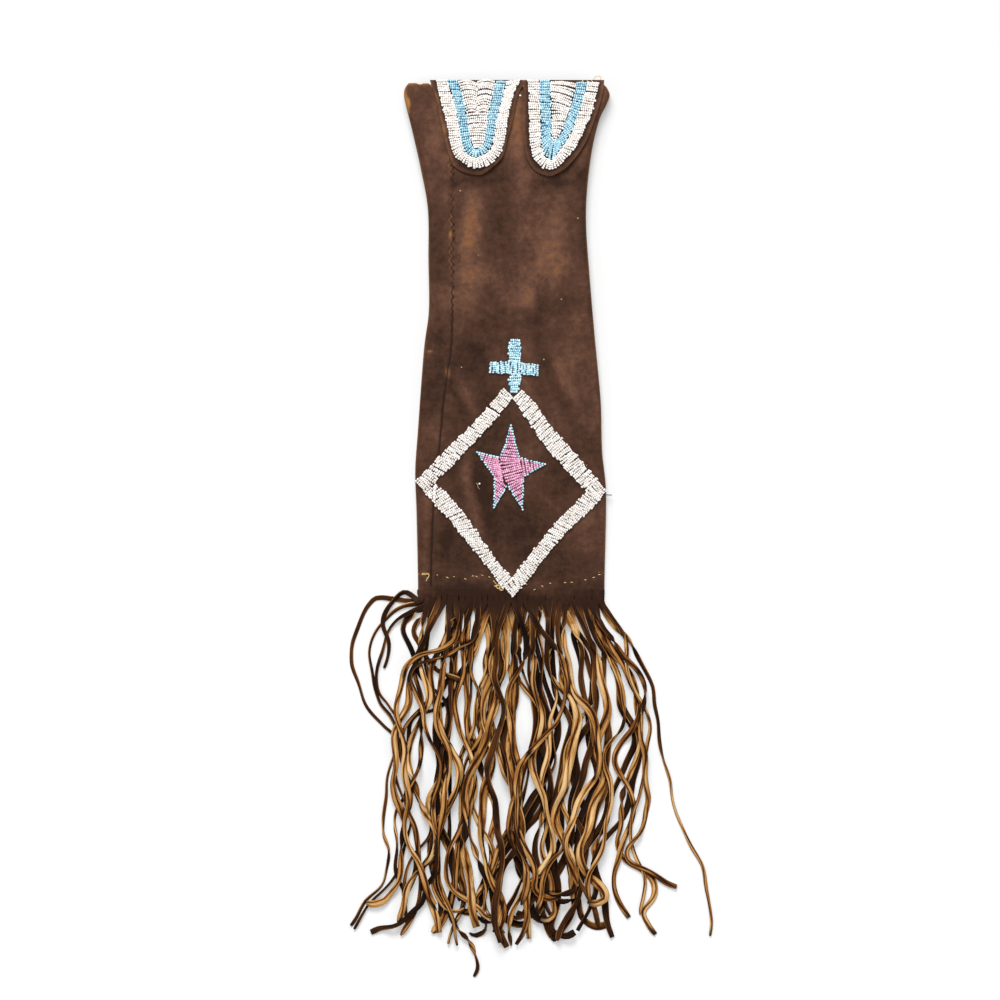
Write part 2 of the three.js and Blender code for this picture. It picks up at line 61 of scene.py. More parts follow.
def onBag(points):  # picture points to places
    return (np.array(points, float) - hemPoint) * (pixel, -pixel)


def ease(value, low, high):
    t = np.clip((np.asarray(value, float) - low) / (high - low), 0, 1)
    return t * t * (3 - 2 * t)


def bell(value, width):  # 1 at 0, falling off by that width
    return np.exp(-((value / width) ** 2))


def swing(turns):
    return np.sin(2 * np.pi * turns)


def curve(points, count):  # a smooth line through a few points
    points = np.array(points, float)
    padded = np.vstack([points[:1], points, points[-1:]])
    u = np.linspace(0, len(points) - 1, count)
    k = np.minimum(u.astype(int), len(points) - 2)
    t = (u - k)[:, None]
    a, b, c, d = padded[k], padded[k + 1], padded[k + 2], padded[k + 3]
    return 0.5 * (2 * b + (c - a) * t + (2 * a - 5 * b + 4 * c - d) * t**2 + (3 * b - a - 3 * c + d) * t**3)


def lengthsAlong(line):
    steps = np.linalg.norm(np.diff(line, axis=0), axis=1)
    return np.concatenate([[0], np.cumsum(steps)])


def headings(line):
    ahead = np.gradient(line, axis=0)
    return ahead / np.linalg.norm(ahead, axis=1)[:, None]


def pointsAt(line, lengths, at):
    return np.column_stack([np.interp(at, lengths, column) for column in line.T])


def spaced(line, step):  # the same line with even steps
    lengths = lengthsAlong(line)
    count = max(2, round(lengths[-1] / step) + 1)
    return pointsAt(line, lengths, np.linspace(0, lengths[-1], count))


def edgeOf(points):  # x as a function of y, through picture points down an edge
    line = curve(onBag(points)[::-1], 400)
    return lambda y: np.interp(y, line[:, 1], line[:, 0])


def scatter(seed):  # the same unsteady number for the same seed
    wild = math.sin(seed * 12.9898) * 43758.5453
    return wild - math.floor(wild)


def eitherWay(seed, most):  # up to that much, to one side or the other
    return (scatter(seed) - 0.5) * 2 * most


# Picture and light
picture = {
    "side": 0.8,  # metres across
    "middle": (500, 500),
    "distance": 5.0,
    "sensor": 36.0,
}
studio = {
    "lamps": {  # place in metres, side and power
        "key_lamp": ((-0.25, 1.45, 1.6), 1.1, 48.0),
        "left_lamp": ((-1.7, -0.3, 1.2), 1.0, 7.0),
        "right_lamp": ((1.7, -0.3, 1.2), 1.0, 7.0),
        "glint_lamp": ((-0.1, 0.5, 2.6), 0.3, 6.0),  # small, for the shine on the beads
    },
    "sky": 0.25,
    "floorFar": 0.557,  # its colour at the top of the picture, where the key lamp is near
    "floorNear": 0.785,  # and at the bottom
    "floorReach": (0.25, -0.52),  # metres up the picture between which it changes
    "floorBounce": 0.25,  # what it throws back at the bag
    "floorGlow": 0.3,  # lifts the floor to white where it is seen directly
    "floorSide": 9.0,
    "floorDrop": 0.2,  # millimetres below the bag
}


class Wire:  # a socket of a shader, so that sums of sockets read as sums
    def __init__(self, tree, socket=None):
        self.tree = tree
        self.socket = socket

    def node(self, kind, settings=None, sockets=None, out=0):
        made = self.tree.nodes.new("ShaderNode" + kind)
        for name, value in (settings or {}).items():
            if name == "stops":
                while len(made.color_ramp.elements) < len(value):
                    made.color_ramp.elements.new(1.0)
                for element, (position, colour) in zip(made.color_ramp.elements, value):
                    element.position = position
                    element.color = colour
            else:
                setattr(made, name, value)
        for name, value in (sockets or {}).items():
            if isinstance(value, Wire):
                self.tree.links.new(value.socket, made.inputs[name])
            else:
                made.inputs[name].default_value = value
        return Wire(self.tree, made.outputs[out])

    def maths(self, operation, first, second):
        return self.node("Math", {"operation": operation}, {0: first, 1: second})

    def __add__(self, other):
        return self.maths("ADD", self, other)

    def __radd__(self, other):
        return self.maths("ADD", other, self)

    def __sub__(self, other):
        return self.maths("SUBTRACT", self, other)

    def __rsub__(self, other):
        return self.maths("SUBTRACT", other, self)

    def __mul__(self, other):
        return self.maths("MULTIPLY", self, other)

    def __rmul__(self, other):
        return self.maths("MULTIPLY", other, self)

    def __abs__(self):
        return self.node("Math", {"operation": "ABSOLUTE"}, {0: self})

    def clamped(self):
        return self.node("Clamp", None, {"Value": self})

    def between(self, low, high):  # 0 below low, 1 above high
        return ((self - low) * (1 / (high - low))).clamped()

    def mixed(self, first, second):  # two colours, by this share of the second
        return self.node("Mix", {"data_type": "RGBA"}, {0: self, 6: first, 7: second}, out=2)

    def mark(self, name, out=2):  # a value kept at the points of a mesh
        return self.node("Attribute", {"attribute_name": name}, out=out)

    def noise(self, place, scale, detail, roughness):
        sockets = {"Vector": place, "Scale": scale, "Detail": detail, "Roughness": roughness}
        return self.node("TexNoise", None, sockets)

    def output(self, name):  # another socket of the same node
        return Wire(self.tree, self.socket.node.outputs[name])

    def into(self, shader, name):
        self.tree.links.new(self.socket, shader.inputs[name])


def ink(code):  # "#rrggbb" to a colour for a socket
    parts = [int(code[k : k + 2], 16) / 255 for k in (1, 3, 5)]
    return (*[p / 12.92 if p < 0.04045 else ((p + 0.055) / 1.055) ** 2.4 for p in parts], 1.0)


def newFinish(name):
    finish = bpy.data.materials.new(name)
    finish.use_nodes = True
    return finish, Wire(finish.node_tree), finish.node_tree.nodes["Principled BSDF"]


def placed(name, data):  # a new object in the scene
    made = bpy.data.objects.new(name, data)
    bpy.context.scene.collection.objects.link(made)
    return made


def addCamera():
    data = bpy.data.cameras.new("camera")
    camera = placed("camera", data)
    x, y = onBag([picture["middle"]])[0] * mm
    camera.location = (x, hemY + y, picture["distance"])
    data.sensor_width = picture["sensor"]
    data.lens = picture["sensor"] * picture["distance"] / picture["side"]
    bpy.context.scene.camera = camera


def addLamps():
    for name, (place, size, power) in studio["lamps"].items():
        data = bpy.data.lights.new(name, "AREA")
        data.size = size
        data.energy = power
        lamp = placed(name, data)
        lamp.location = place
        aim = Vector((0, hemY, 0)) - lamp.location
        lamp.rotation_euler = aim.to_track_quat("-Z", "Y").to_euler()


def seenDirectly(wire):  # 1 for the camera's own rays, and for mirrored or passing ones
    path = wire.node("LightPath")
    names = ("Is Camera Ray", "Is Glossy Ray", "Is Transmission Ray")
    camera, glossy, through = [path.output(name) for name in names]
    return (camera + glossy + through).clamped()


def addSky():
    world = bpy.data.worlds.new("studio")
    world.use_nodes = True
    bpy.context.scene.world = world
    sky = world.node_tree.nodes["Background"]
    sky.inputs["Color"].default_value = (1, 1, 1, 1)
    strength = seenDirectly(Wire(world.node_tree)) * (1 - studio["sky"]) + studio["sky"]
    strength.into(sky, "Strength")


def floorFinish():
    finish, wire, shader = newFinish("floor")
    tree = finish.node_tree
    tree.nodes.remove(shader)
    shades = [(*[studio[name]] * 3, 1) for name in ("floorFar", "floorNear", "floorBounce")]
    far, near, dull = [wire.node("BsdfDiffuse", None, {"Color": shade}) for shade in shades]
    up = wire.node("SeparateXYZ", None, {"Vector": wire.node("TexCoord", out=3)}, out=1)
    paper = wire.node("MixShader", None, {0: up.between(*studio["floorReach"]), 1: far, 2: near})
    glow = wire.node("Emission", None, {"Strength": studio["floorGlow"]})
    bright = wire.node("AddShader", None, {0: paper, 1: glow})
    seen = wire.node("MixShader", None, {0: seenDirectly(wire), 1: dull, 2: bright})
    seen.into(tree.nodes["Material Output"], "Surface")
    return finish


def addFloor():
    half = studio["floorSide"] / 2
    mesh = bpy.data.meshes.new("floor")
    corners = [(-half, -half, 0), (half, -half, 0), (half, half, 0), (-half, half, 0)]
    mesh.from_pydata(corners, [], [(0, 1, 2, 3)])
    mesh.materials.append(floorFinish())
    floor = placed("floor", mesh)
    floor.location.z = -studio["floorDrop"] * mm


addCamera()
addLamps()
addSky()
addFloor()
bpy.context.scene.view_settings.view_transform = "Standard"
print("camera and studio ready")


# The seam runs down the left of the front, puckered by its stitches above and a plain crease below
seam = {
    "route": [(452, 84), (452, 180), (452, 330), (447.5, 372), (444, 400), (439.5, 445), (434, 500),
              (431, 577)],
    "depth": 0.5,
    "width": 1.4,
    "stitch": 6.4,
    "pucker": 0.35,
    "fades": (170.0, 275.0),
    "tuft": (450.6, 235),  # where the raw edge shows
    "reach": 6.0,  # it is painted this far to each side
    "zigzag": 2.2,  # how far its painted line swings from stitch to stitch
    "stagger": 9.0,  # how uneven the stitches are
    "wander": 1.8,
    "groove": (0.0, 0.1, 0.8),  # painted lines of shade and highlight: place beside the seam, half widths between which they fade
    "notch": (0.7, 0.3, 1.2),
    "crease": (0.0, 0.2, 1.5),
    "lip": (-1.1, 0.25, 1.1),
    "grooveShare": (0.3, 0.45),  # of the noise between which each line comes and goes
    "notchShare": (0.4, 0.55),
    "lipShare": (0.42, 0.62),
    "notchBeat": (-0.8, -0.2),  # of the stitches between which a notch ends
    "grooveStrength": 0.75,
    "creaseStrength": 0.6,
}

# Finishes
hide = {
    "cloud": (17.0, 5.0, 0.6),  # each noise by scale, detail and roughness
    "mottle": (60.0, 4.0, 0.6),
    "grain": (210.0, 5.0, 0.7),
    "pore": (1300.0, 3.0, 0.5),
    "jog": (70.0, 2.0, 0.5),  # makes the seam uneven
    "level": 0.41,  # where an even hide stands in the stops, and how far the noises and the tones move it
    "cloudMove": 0.95,
    "mottleMove": 0.4,
    "grainMove": 0.6,
    "toneMove": 0.36,
    "stops": [
        (0.12, ink("#2f1c12")),
        (0.42, ink("#4e3326")),
        (0.62, ink("#654535")),
        (0.9, ink("#8a5b36")),
    ],
    # pale colour for wear and for painted highlight on edges
    "worn": ink("#b27b42"),
    "speck": ink("#c9a986"),
    "speckScale": 75.0,
    "speckSize": (0.03, 0.06),  # between these it fades
    "speckShare": (0.8, 0.82),  # in one cell out of five
    "speckStrength": 0.7,
    # painted highlight on the seam's lip, and painted shade in its groove, notches and crease
    "lip": ink("#8f6445"),
    "lipHighlightStrength": 0.55,
    "seamShade": ink("#1c110b"),
    "seamShadeStrength": 0.85,
    "paleEdgeGrain": 0.5,  # how much the grain breaks up the worn edges and their painted highlight
    "rough": (0.86, 0.22),  # roughness, and what the grain takes off it
    "heights": (0.7, 0.3, 1.4),  # of the grain, the pores and the seam
    "grainDepth": 0.35,
    "bump": 0.0006,
    "gloss": 0.12,
}
thongs = {
    "flesh": [
        (0.0, ink("#2b1505")),
        (0.25, ink("#7d491f")),
        (0.5, ink("#c38c4b")),
        (0.8, ink("#f0cb93")),
    ],
    "bark": [
        (0.25, ink("#0d0603")),
        (0.5, ink("#2e180a")),
        (0.75, ink("#583214")),
        (1.0, ink("#945c28")),
    ],
    "cutEnd": ink("#24160f"),
    "shade": ink("#080301"),
    "streak": ((0.035, 1.6, 7.3), (2.0, 4.0, 0.65)),  # stretch along, around and by thong; noise
    "drift": ((0.012, 0.1, 3.1), (2.0, 1.0, 0.5)),
    "fleshLevel": 0.29,  # where each side stands in its stops, and how far the streaks move it
    "fleshStreak": 1.35,
    "barkLevel": 0.31,
    "barkStreak": 1.1,
    "tint": (0.55, 0.13),  # what a thong's own tint adds, and is taken off
    "driftMove": 1.1,
    "faceShadingMove": 0.26,  # painted light and shade: lighter on top, darker in its hollow and deep in the pile
    "hollowShadeMove": 0.7,
    "deepShadeMove": 0.25,
    "deepShade": 0.92,
    "turnsOver": (-0.35, 0.2),  # from the smoked to the flesh side
    "turnStreak": 0.45,
    "rough": (0.82, 0.25),  # roughness, and what the streaks take off it
    "streakDepth": 0.5,
    "bump": 0.0005,
    "gloss": 0.07,
}
beads = {
    "glow": 0.08,  # painted glow: stands for the light that glass lets through
    "dull": 0.34,
    "shine": 0.14,  # pale beads are this much smoother
}
thread = {
    "fibre": (900.0, 2.0, 0.5),
    "contrast": (0.3, 0.7),
    "dull": 0.7,
}


def seamPaint(wire, jog, mottle):  # painted shade in the seam's groove, notches and crease, and a painted highlight on its lip
    parts = wire.node("SeparateXYZ", None, {"Vector": wire.mark("seam", out=1)})
    across, along, sewn = [parts.output(axis) for axis in "XYZ"]
    stitched = wire.mark("stitched")
    turns = along * (2 * math.pi / seam["stitch"]) + jog * seam["stagger"]
    beat = wire.node("Math", {"operation": "SINE"}, {0: turns})
    sway = across + beat * stitched * (jog * seam["zigzag"] - 0.2) + (jog - 0.5) * seam["wander"]

    def line(name):
        place, inner, outer = seam[name]
        return 1 - abs(sway - place).between(inner, outer)

    groove = line("groove") * seam["grooveStrength"] * jog.between(*seam["grooveShare"])
    notch = line("notch") * (1 - beat.between(*seam["notchBeat"])) * stitched
    notch = notch * mottle.between(*seam["notchShare"])
    crease = line("crease") * (1 - stitched) * seam["creaseStrength"]
    lip = line("lip") * stitched * jog.between(*seam["lipShare"])
    return (groove + notch + crease).clamped() * sewn, lip * sewn


def hidePaint(wire):  # colour of the smoked side, its grain, the painted shade and highlight along the seam, and the seam's relief
    place = wire.node("TexCoord", out=3)
    names = ("cloud", "mottle", "grain", "jog")
    cloud, mottle, grain, jog = [wire.noise(place, *hide[name]) for name in names]
    level = hide["level"] + (cloud - 0.5) * hide["cloudMove"] + (mottle - 0.5) * hide["mottleMove"]
    level = level + (grain - 0.5) * hide["grainMove"] + wire.mark("tone") * hide["toneMove"]
    colour = wire.node("ValToRGB", {"stops": hide["stops"]}, {"Fac": level})
    spots = wire.node("TexVoronoi", None, {"Vector": place, "Scale": hide["speckScale"]})
    lot = wire.node("SeparateColor", None, {"Color": spots.output("Color")})
    speck = (1 - spots.between(*hide["speckSize"])) * lot.between(*hide["speckShare"])
    colour = (speck * hide["speckStrength"]).mixed(colour, hide["speck"])
    groove, lip = seamPaint(wire, jog, mottle)
    # painted highlight on the seam's lip, then painted shade in its groove
    colour = (lip * hide["lipHighlightStrength"]).mixed(colour, hide["lip"])
    colour = (groove * hide["seamShadeStrength"]).mixed(colour, hide["seamShade"])
    # wear, with painted highlight along edges
    worn = wire.mark("worn")
    edge = (worn + (grain - 0.5) * hide["paleEdgeGrain"] * worn).clamped()
    return edge.mixed(colour, hide["worn"]), grain, lip - groove


def hideFinish():
    finish, wire, shader = newFinish("smoked hide")
    colour, grain, sewn = hidePaint(wire)
    colour.into(shader, "Base Color")
    dull, smooth = hide["rough"]
    (dull - grain * smooth).into(shader, "Roughness")
    pores = wire.noise(wire.node("TexCoord", out=3), *hide["pore"])
    grainHeight, poreHeight, seamHeight = hide["heights"]
    height = grain * grainHeight + pores * poreHeight + sewn * seamHeight
    sockets = {"Strength": hide["grainDepth"], "Distance": hide["bump"], "Height": height}
    wire.node("Bump", None, sockets).into(shader, "Normal")
    shader.inputs["Specular IOR Level"].default_value = hide["gloss"]
    return finish


def thongNoise(wire, name):
    stretch, noise = thongs[name]
    run = wire.mark("grain", out=1)  # along, around and which thong
    return wire.noise(wire.node("VectorMath", {"operation": "MULTIPLY"}, {0: run, 1: stretch}), *noise)


def thongFinish():
    finish, wire, shader = newFinish("cut thong")
    streak = thongNoise(wire, "streak")
    face, deep, below = [wire.mark(name) for name in ("face", "deep", "below")]
    tintMove, tintOff = thongs["tint"]
    tint = wire.mark("tint") * tintMove - tintOff + (thongNoise(wire, "drift") - 0.5) * thongs["driftMove"]
    level = thongs["fleshLevel"] + tint + (streak - 0.5) * thongs["fleshStreak"]
    # painted light and shade: lighter in the middle of the flesh side, painted shade in the hollow and deep
    # in the pile
    level = level + (face - 0.6) * thongs["faceShadingMove"]
    level = level - wire.mark("hollow") * thongs["hollowShadeMove"] - deep * thongs["deepShadeMove"]
    flesh = wire.node("ValToRGB", {"stops": thongs["flesh"]}, {"Fac": level})
    level = thongs["barkLevel"] + tint + (streak - 0.5) * thongs["barkStreak"]
    bark = wire.node("ValToRGB", {"stops": thongs["bark"]}, {"Fac": level})
    smoked = below.mixed(hidePaint(wire)[0], bark)
    side = (face + (streak - 0.5) * thongs["turnStreak"]).between(*thongs["turnsOver"])
    colour = (side * below * below).mixed(smoked, flesh)
    # painted shade: deep in the pile a thong turns nearly black
    colour = (deep * thongs["deepShade"]).mixed(colour, thongs["shade"])
    wire.mark("end").mixed(colour, thongs["cutEnd"]).into(shader, "Base Color")
    dull, smooth = thongs["rough"]
    (dull - streak * smooth).into(shader, "Roughness")
    sockets = {"Strength": thongs["streakDepth"], "Distance": thongs["bump"], "Height": streak}
    wire.node("Bump", None, sockets).into(shader, "Normal")
    shader.inputs["Specular IOR Level"].default_value = thongs["gloss"]
    return finish


def beadFinish(name, pale, deep):
    finish, wire, shader = newFinish(name)
    tint = wire.mark("tint")
    colour = tint.mixed(deep, pale)
    colour.into(shader, "Base Color")
    (beads["dull"] - tint * beads["shine"]).into(shader, "Roughness")
    # painted glow in the beads' own colour
    colour.into(shader, "Emission Color")
    shader.inputs["Emission Strength"].default_value = beads["glow"]
    return finish


def threadFinish(name, pale, deep):
    finish, wire, shader = newFinish(name)
    fibre = wire.noise(wire.node("TexCoord", out=3), *thread["fibre"])
    fibre.between(*thread["contrast"]).mixed(deep, pale).into(shader, "Base Color")
    shader.inputs["Roughness"].default_value = thread["dull"]
    return finish


finishes = {
    "hide": hideFinish(),
    "thong": thongFinish(),
    "white": beadFinish("white beads", ink("#fffdfb"), ink("#d5c6b8")),
    "blue": beadFinish("blue beads", ink("#cbeef7"), ink("#3d93ba")),
    "sky": beadFinish("pale blue beads", ink("#e2fbff"), ink("#5fb6d4")),
    "pink": beadFinish("pink beads", ink("#ffc4e0"), ink("#a8507f")),
    "sinew": threadFinish("hem thread", ink("#ffe2a0"), ink("#c99a52")),
    "tow": threadFinish("loose thread", ink("#d8c3a0"), ink("#a07c4e")),
    "dark": threadFinish("dark thread", ink("#5a4448"), ink("#33262a")),
}
print("finishes ready:", ", ".join(finishes))


def addPiece(name, points, faces, finish, body, slot, replaced=(), marks=None, sharp=None):
    mesh = bpy.data.meshes.new(name)
    places = np.array(points, float) * mm + (0, hemY, 0)
    mesh.from_pydata(places.tolist(), [], faces)
    for mark, values in (marks or {}).items():
        kind = "FLOAT" if np.ndim(values) == 1 else "FLOAT_VECTOR"
        layer = mesh.attributes.new(mark, kind, "POINT")
        key = "value" if kind == "FLOAT" else "vector"
        layer.data.foreach_set(key, np.array(values, np.float32).ravel())
    build = bmesh.new()
    build.from_mesh(mesh)
    bmesh.ops.recalc_face_normals(build, faces=build.faces)
    build.to_mesh(mesh)
    build.free()
    mesh.shade_smooth()
    if sharp:
        mesh.set_sharp_from_angle(angle=math.radians(sharp))
    mesh.materials.append(finish)
    piece = placed(name, mesh)
    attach(piece, body)
    if replaced:
        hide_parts(*replaced)
    return piece


def ringFaces(rings, sides):  # the quads of a loft of closed rings
    row, column = np.meshgrid(np.arange(rings - 1), np.arange(sides), indexing="ij")
    a = row * sides + column
    b = row * sides + (column + 1) % sides
    return np.stack([a, b, b + sides, a + sides], -1).reshape(-1, 4).tolist()


def loftFaces(rings, sides):  # the same, closed at both ends
    last = (rings - 1) * sides
    ends = [list(range(sides)), list(range(last, last + sides))[::-1]]
    return ringFaces(rings, sides) + ends


def joined(parts):  # several (points, faces) as one
    points, faces, start = [], [], 0
    for partPoints, partFaces in parts:
        points.append(partPoints)
        faces += [[corner + start for corner in face] for face in partFaces]
        start += len(partPoints)
    return np.vstack(points), faces


# The pouch
pouch = {
    "leftEdge": [(408, 84.5), (405, 89), (404, 95), (406, 106), (412, 130), (421, 170), (428, 210),
                 (428.5, 260), (429, 310), (424, 350), (418, 430), (415.3, 470), (416.5, 510),
                 (418, 577), (418, 593)],
    "rightEdge": [(603, 84.5), (607, 88), (609.6, 96), (606, 106), (599, 121), (592, 150), (587, 190),
                  (586, 225), (589, 270), (594, 330), (600.5, 400), (602, 450), (606, 495), (604.5, 577),
                  (604.5, 593)],
    "loft": 13.0,
    "foot": 3.3,  # thickness at the slits
    "header": 18.0,
    "rise": 205.0,  # height at which the front is full
    "fold": 0.7,
    "wall": 1.5,
    "inside": 10.0,  # the hem's depth
    "slits": -10.0,  # where the thongs are cut
    "step": 1.6,
    "columns": 185,
    "foldColumns": 9,
    "backColumns": 33,
    "innerRings": [0, 2, 6, 14, 28, 50, 80, 120, 170, 230, 300],  # below the rim
    "lip": 0.525,  # the rounded edge of the rim
    "flat": (0.31, 0.41),  # metres, before it was sewn
    "backTone": 0.1,
    "innerTone": 0.9,
}
rim = {
    "reach": 9.0,  # it is uneven down to this
    "front": (4.0, 9.0),  # heights off the table between which its front half begins
    "nick": (-73.6, 1.7, 1.6),  # place across, depth and width
    "flapRoom": 3.3,  # it is lower behind the flaps, so that they can lay back
    "flapStart": (-66.5, -64.5),
    "peak": (9.0, 1.5, 2.5),  # the back shows between the flaps: place across, height and width
    "sag": 0.4,
}
hem = {
    "line": [(417, 574), (428, 574.5), (447, 577.5), (465, 579), (482, 575.3), (493, 580), (505, 588),
             (518, 588), (535, 588), (550, 583.5), (572, 582), (590, 579), (600, 574)],
    "depth": 0.5,
    "width": 1.7,
}
# Soft folds from one picture point to another, with height and width in millimetres
folds = [
    ((447, 376), (470, 432), -0.825, 3.2),
    ((455, 372), (482, 428), 0.75, 3.6),
    ((462, 462), (486, 556), 0.9, 5.0),
    ((476, 465), (494, 545), -0.75, 4.5),
    ((536, 342), (575, 430), -0.9, 4.2),
    ((546, 345), (588, 425), 0.6, 4.5),
    ((500, 372), (468, 345), -0.6, 4.0),
    ((590, 160), (572, 190), -0.6, 3.0),
    ((470, 180), (462, 330), 0.525, 6.0),
    ((560, 200), (545, 330), 0.45, 9.0),
    ((438, 300), (440, 370), -0.6, 4.0),
    ((590, 500), (560, 560), 0.525, 7.0),
    ((428, 520), (424, 585), 0.525, 3.0),
    ((450, 520), (445, 570), -0.525, 4.0),
]
foldShading = 0.55  # painted light and shade: folds are lighter on their ridges and darker in their hollows
# Pale and dark fields of the hide, some of them painted shade: picture point, reach in picture points,
# strength
tones = [
    ((516, 130), (8, 45), 1.0), ((525, 182), (10, 14), 0.9), ((473, 205), (11, 24), 0.6),
    ((469, 240), (9, 26), 0.5), ((481, 272), (15, 10), 0.6), ((472, 301), (8, 17), 0.6),
    ((527, 297), (9, 12), 0.65), ((548, 222), (12, 20), 0.4), ((556, 256), (22, 14), 0.12),
    ((447.5, 373), (2.6, 5), 2.2), ((430, 352), (3, 1.2), 1.8), ((467, 480), (6, 34), 0.75),
    ((476, 520), (7, 26), 0.5), ((437, 432), (9, 14), 0.5), ((562, 420), (16, 40), 0.25),
    ((588, 542), (13, 10), 0.4), ((429, 500), (7, 20), 0.45), ((531, 450), (9, 9), 0.4),
    ((446, 200), (3, 22), 0.4), ((521, 345), (5, 10), 0.4), ((498, 230), (18, 45), -0.45),
    ((588, 230), (9, 55), -0.5), ((437, 262), (9, 26), -0.55), ((437, 378), (9, 42), -0.2),
    ((480, 362), (13, 16), -0.6), ((541, 362), (11, 26), -0.45), ((515, 540), (42, 28), -0.35),
    ((484, 478), (9, 26), -0.25), ((596, 545), (8, 20), -0.4), ((435, 552), (16, 22), -0.35),
    # painted shade: the first of these is the dark band along the roots of the thongs
    ((512, 604), (130, 13), -1.2), ((460, 588), (34, 9), -0.6), ((545, 300), (12, 14), -0.4),
    # painted shade: the dark hole between the flaps, then the shadows below the flaps' tips
    ((522, 88.5), (2, 2.6), -2), ((474, 182), (26, 6), -0.7), ((550, 183), (26, 6), -0.7),
    ((514, 150), (4, 30), -0.3), ((420, 140), (10, 40), -0.25), ((575, 175), (16, 12), -0.2),
    ((515, 480), (100, 120), -0.3),
]
# Where the hide is rubbed pale, and where a painted highlight lies along its side folds and its rim: how
# much, and how wide
wearAndHighlight = {
    "sides": (0.5, 0.8),
    "rim": (0.6, 0.8),
    "patch": (0.9, 2.4),  # ragged, at the left of the rim
    "patchFrom": (404, 90),
    "patchTo": (409, 113),
    "tuft": (0.75, 1.1, 2.4),  # and how long
}

leftEdge = edgeOf(pouch["leftEdge"])
rightEdge = edgeOf(pouch["rightEdge"])
seamAt = edgeOf(seam["route"])
hemLine = onBag(hem["line"])


def foldDepth(x, y):  # all the soft folds together
    depth = np.zeros(np.broadcast(x, y).shape)
    for start, end, height, width in folds:
        a, b = onBag([start, end])
        run = b - a
        along = np.clip(((x - a[0]) * run[0] + (y - a[1]) * run[1]) / (run @ run), 0, 1)
        away = np.hypot(x - a[0] - along * run[0], y - a[1] - along * run[1])
        depth += height * bell(away, width) * (0.35 + 0.65 * np.sin(np.pi * along))
    return depth


def relief(x, y):  # how the front stands off its smooth form
    across = x - seamAt(y)
    stitched = ease(y, *seam["fades"])
    beat = np.cos(2 * np.pi * y / seam["stitch"])
    groove = -seam["depth"] * bell(across, seam["width"]) * (1 - 0.35 * stitched * beat)
    beside = np.abs(across + 0.5 * stitched * beat) - 2.1 * seam["width"]
    pucker = seam["pucker"] * bell(beside, seam["width"]) * (0.3 + 0.7 * stitched * (0.5 + 0.5 * beat))
    sewn = y - np.interp(x, hemLine[:, 0], hemLine[:, 1])
    tuck = -hem["depth"] * bell(sewn, hem["width"])
    roll = 0.35 * np.sin(x / 19 + y / 61) * np.sin(y / 37 + 1.1) + 0.22 * np.sin(x / 9.5 - y / 33)
    free = ease(y, pouch["slits"] + 1, 2)
    shown = 1 - ease(y, rimY - 90, rimY - 70)  # flat under the flaps
    return free * (groove + pucker * (0.25 + 0.75 * shown) + (roll + foldDepth(x, y)) * shown + tuck)


def section(y):  # middle, half width and half thickness of the pouch
    left = leftEdge(y)
    right = rightEdge(y)
    slope = (pouch["loft"] - pouch["foot"]) / (pouch["rise"] + pouch["header"])
    rise = np.minimum(pouch["loft"], pouch["foot"] + slope * (y + pouch["header"]))
    return (left + right) / 2, (right - left) / 2, rise / 2


def frontTop(x, y):  # height of the hide under a place on the front
    middle, half, radius = section(y)
    fold = radius * pouch["fold"]
    overEdge = np.clip((np.abs(x - middle) - half + fold) / fold, 0, 0.96)
    return radius + radius * np.sqrt(1 - overEdge**2) + relief(x, y) * (1 - overEdge)


def toneAt(x, y):
    # painted light and shade along the folds, then the fields below
    tone = foldShading * foldDepth(x, y)
    for point, (width, height), strength in tones:
        fieldX, fieldY = onBag([point])[0]
        tone += strength * bell(x - fieldX, width * pixel) * bell(y - fieldY, height * pixel)
    return tone


def pouchRing(y, wall):
    middle, half, radius = section(y)
    radius = radius - wall
    fold = radius * pouch["fold"]
    flat = half - wall - fold
    t = np.linspace(-1, 1, pouch["columns"])
    frontX = middle + flat * t
    frontZ = wall + 2 * radius + relief(frontX, np.full_like(t, y)) * (1 - ease(np.abs(t), 0.95, 1))
    angles = np.linspace(90, -90, pouch["foldColumns"] + 2)[1:-1] * math.pi / 180
    sideX = flat + fold * np.cos(angles)
    sideZ = wall + radius + radius * np.sin(angles)
    back = np.linspace(1, -1, pouch["backColumns"])
    x = np.concatenate([frontX, middle + sideX, middle + flat * back, (middle - sideX)[::-1]])
    z = np.concatenate([frontZ, sideZ, np.full_like(back, wall), sideZ[::-1]])
    front = ease(z, *rim["front"])
    nickX, nickDepth, nickWidth = rim["nick"]
    peakX, peakHeight, peakWidth = rim["peak"]
    dip = front * (nickDepth * bell(x - nickX, nickWidth) + rim["flapRoom"] * ease(x, *rim["flapStart"]))
    dip -= (1 - front) * peakHeight * bell(x - peakX, peakWidth)
    dip += rim["sag"] * np.sin(x / 13) * ease(np.abs(x), 20, 60)
    return np.column_stack([x, y - dip * ease(y, rimY - rim["reach"], rimY), z])


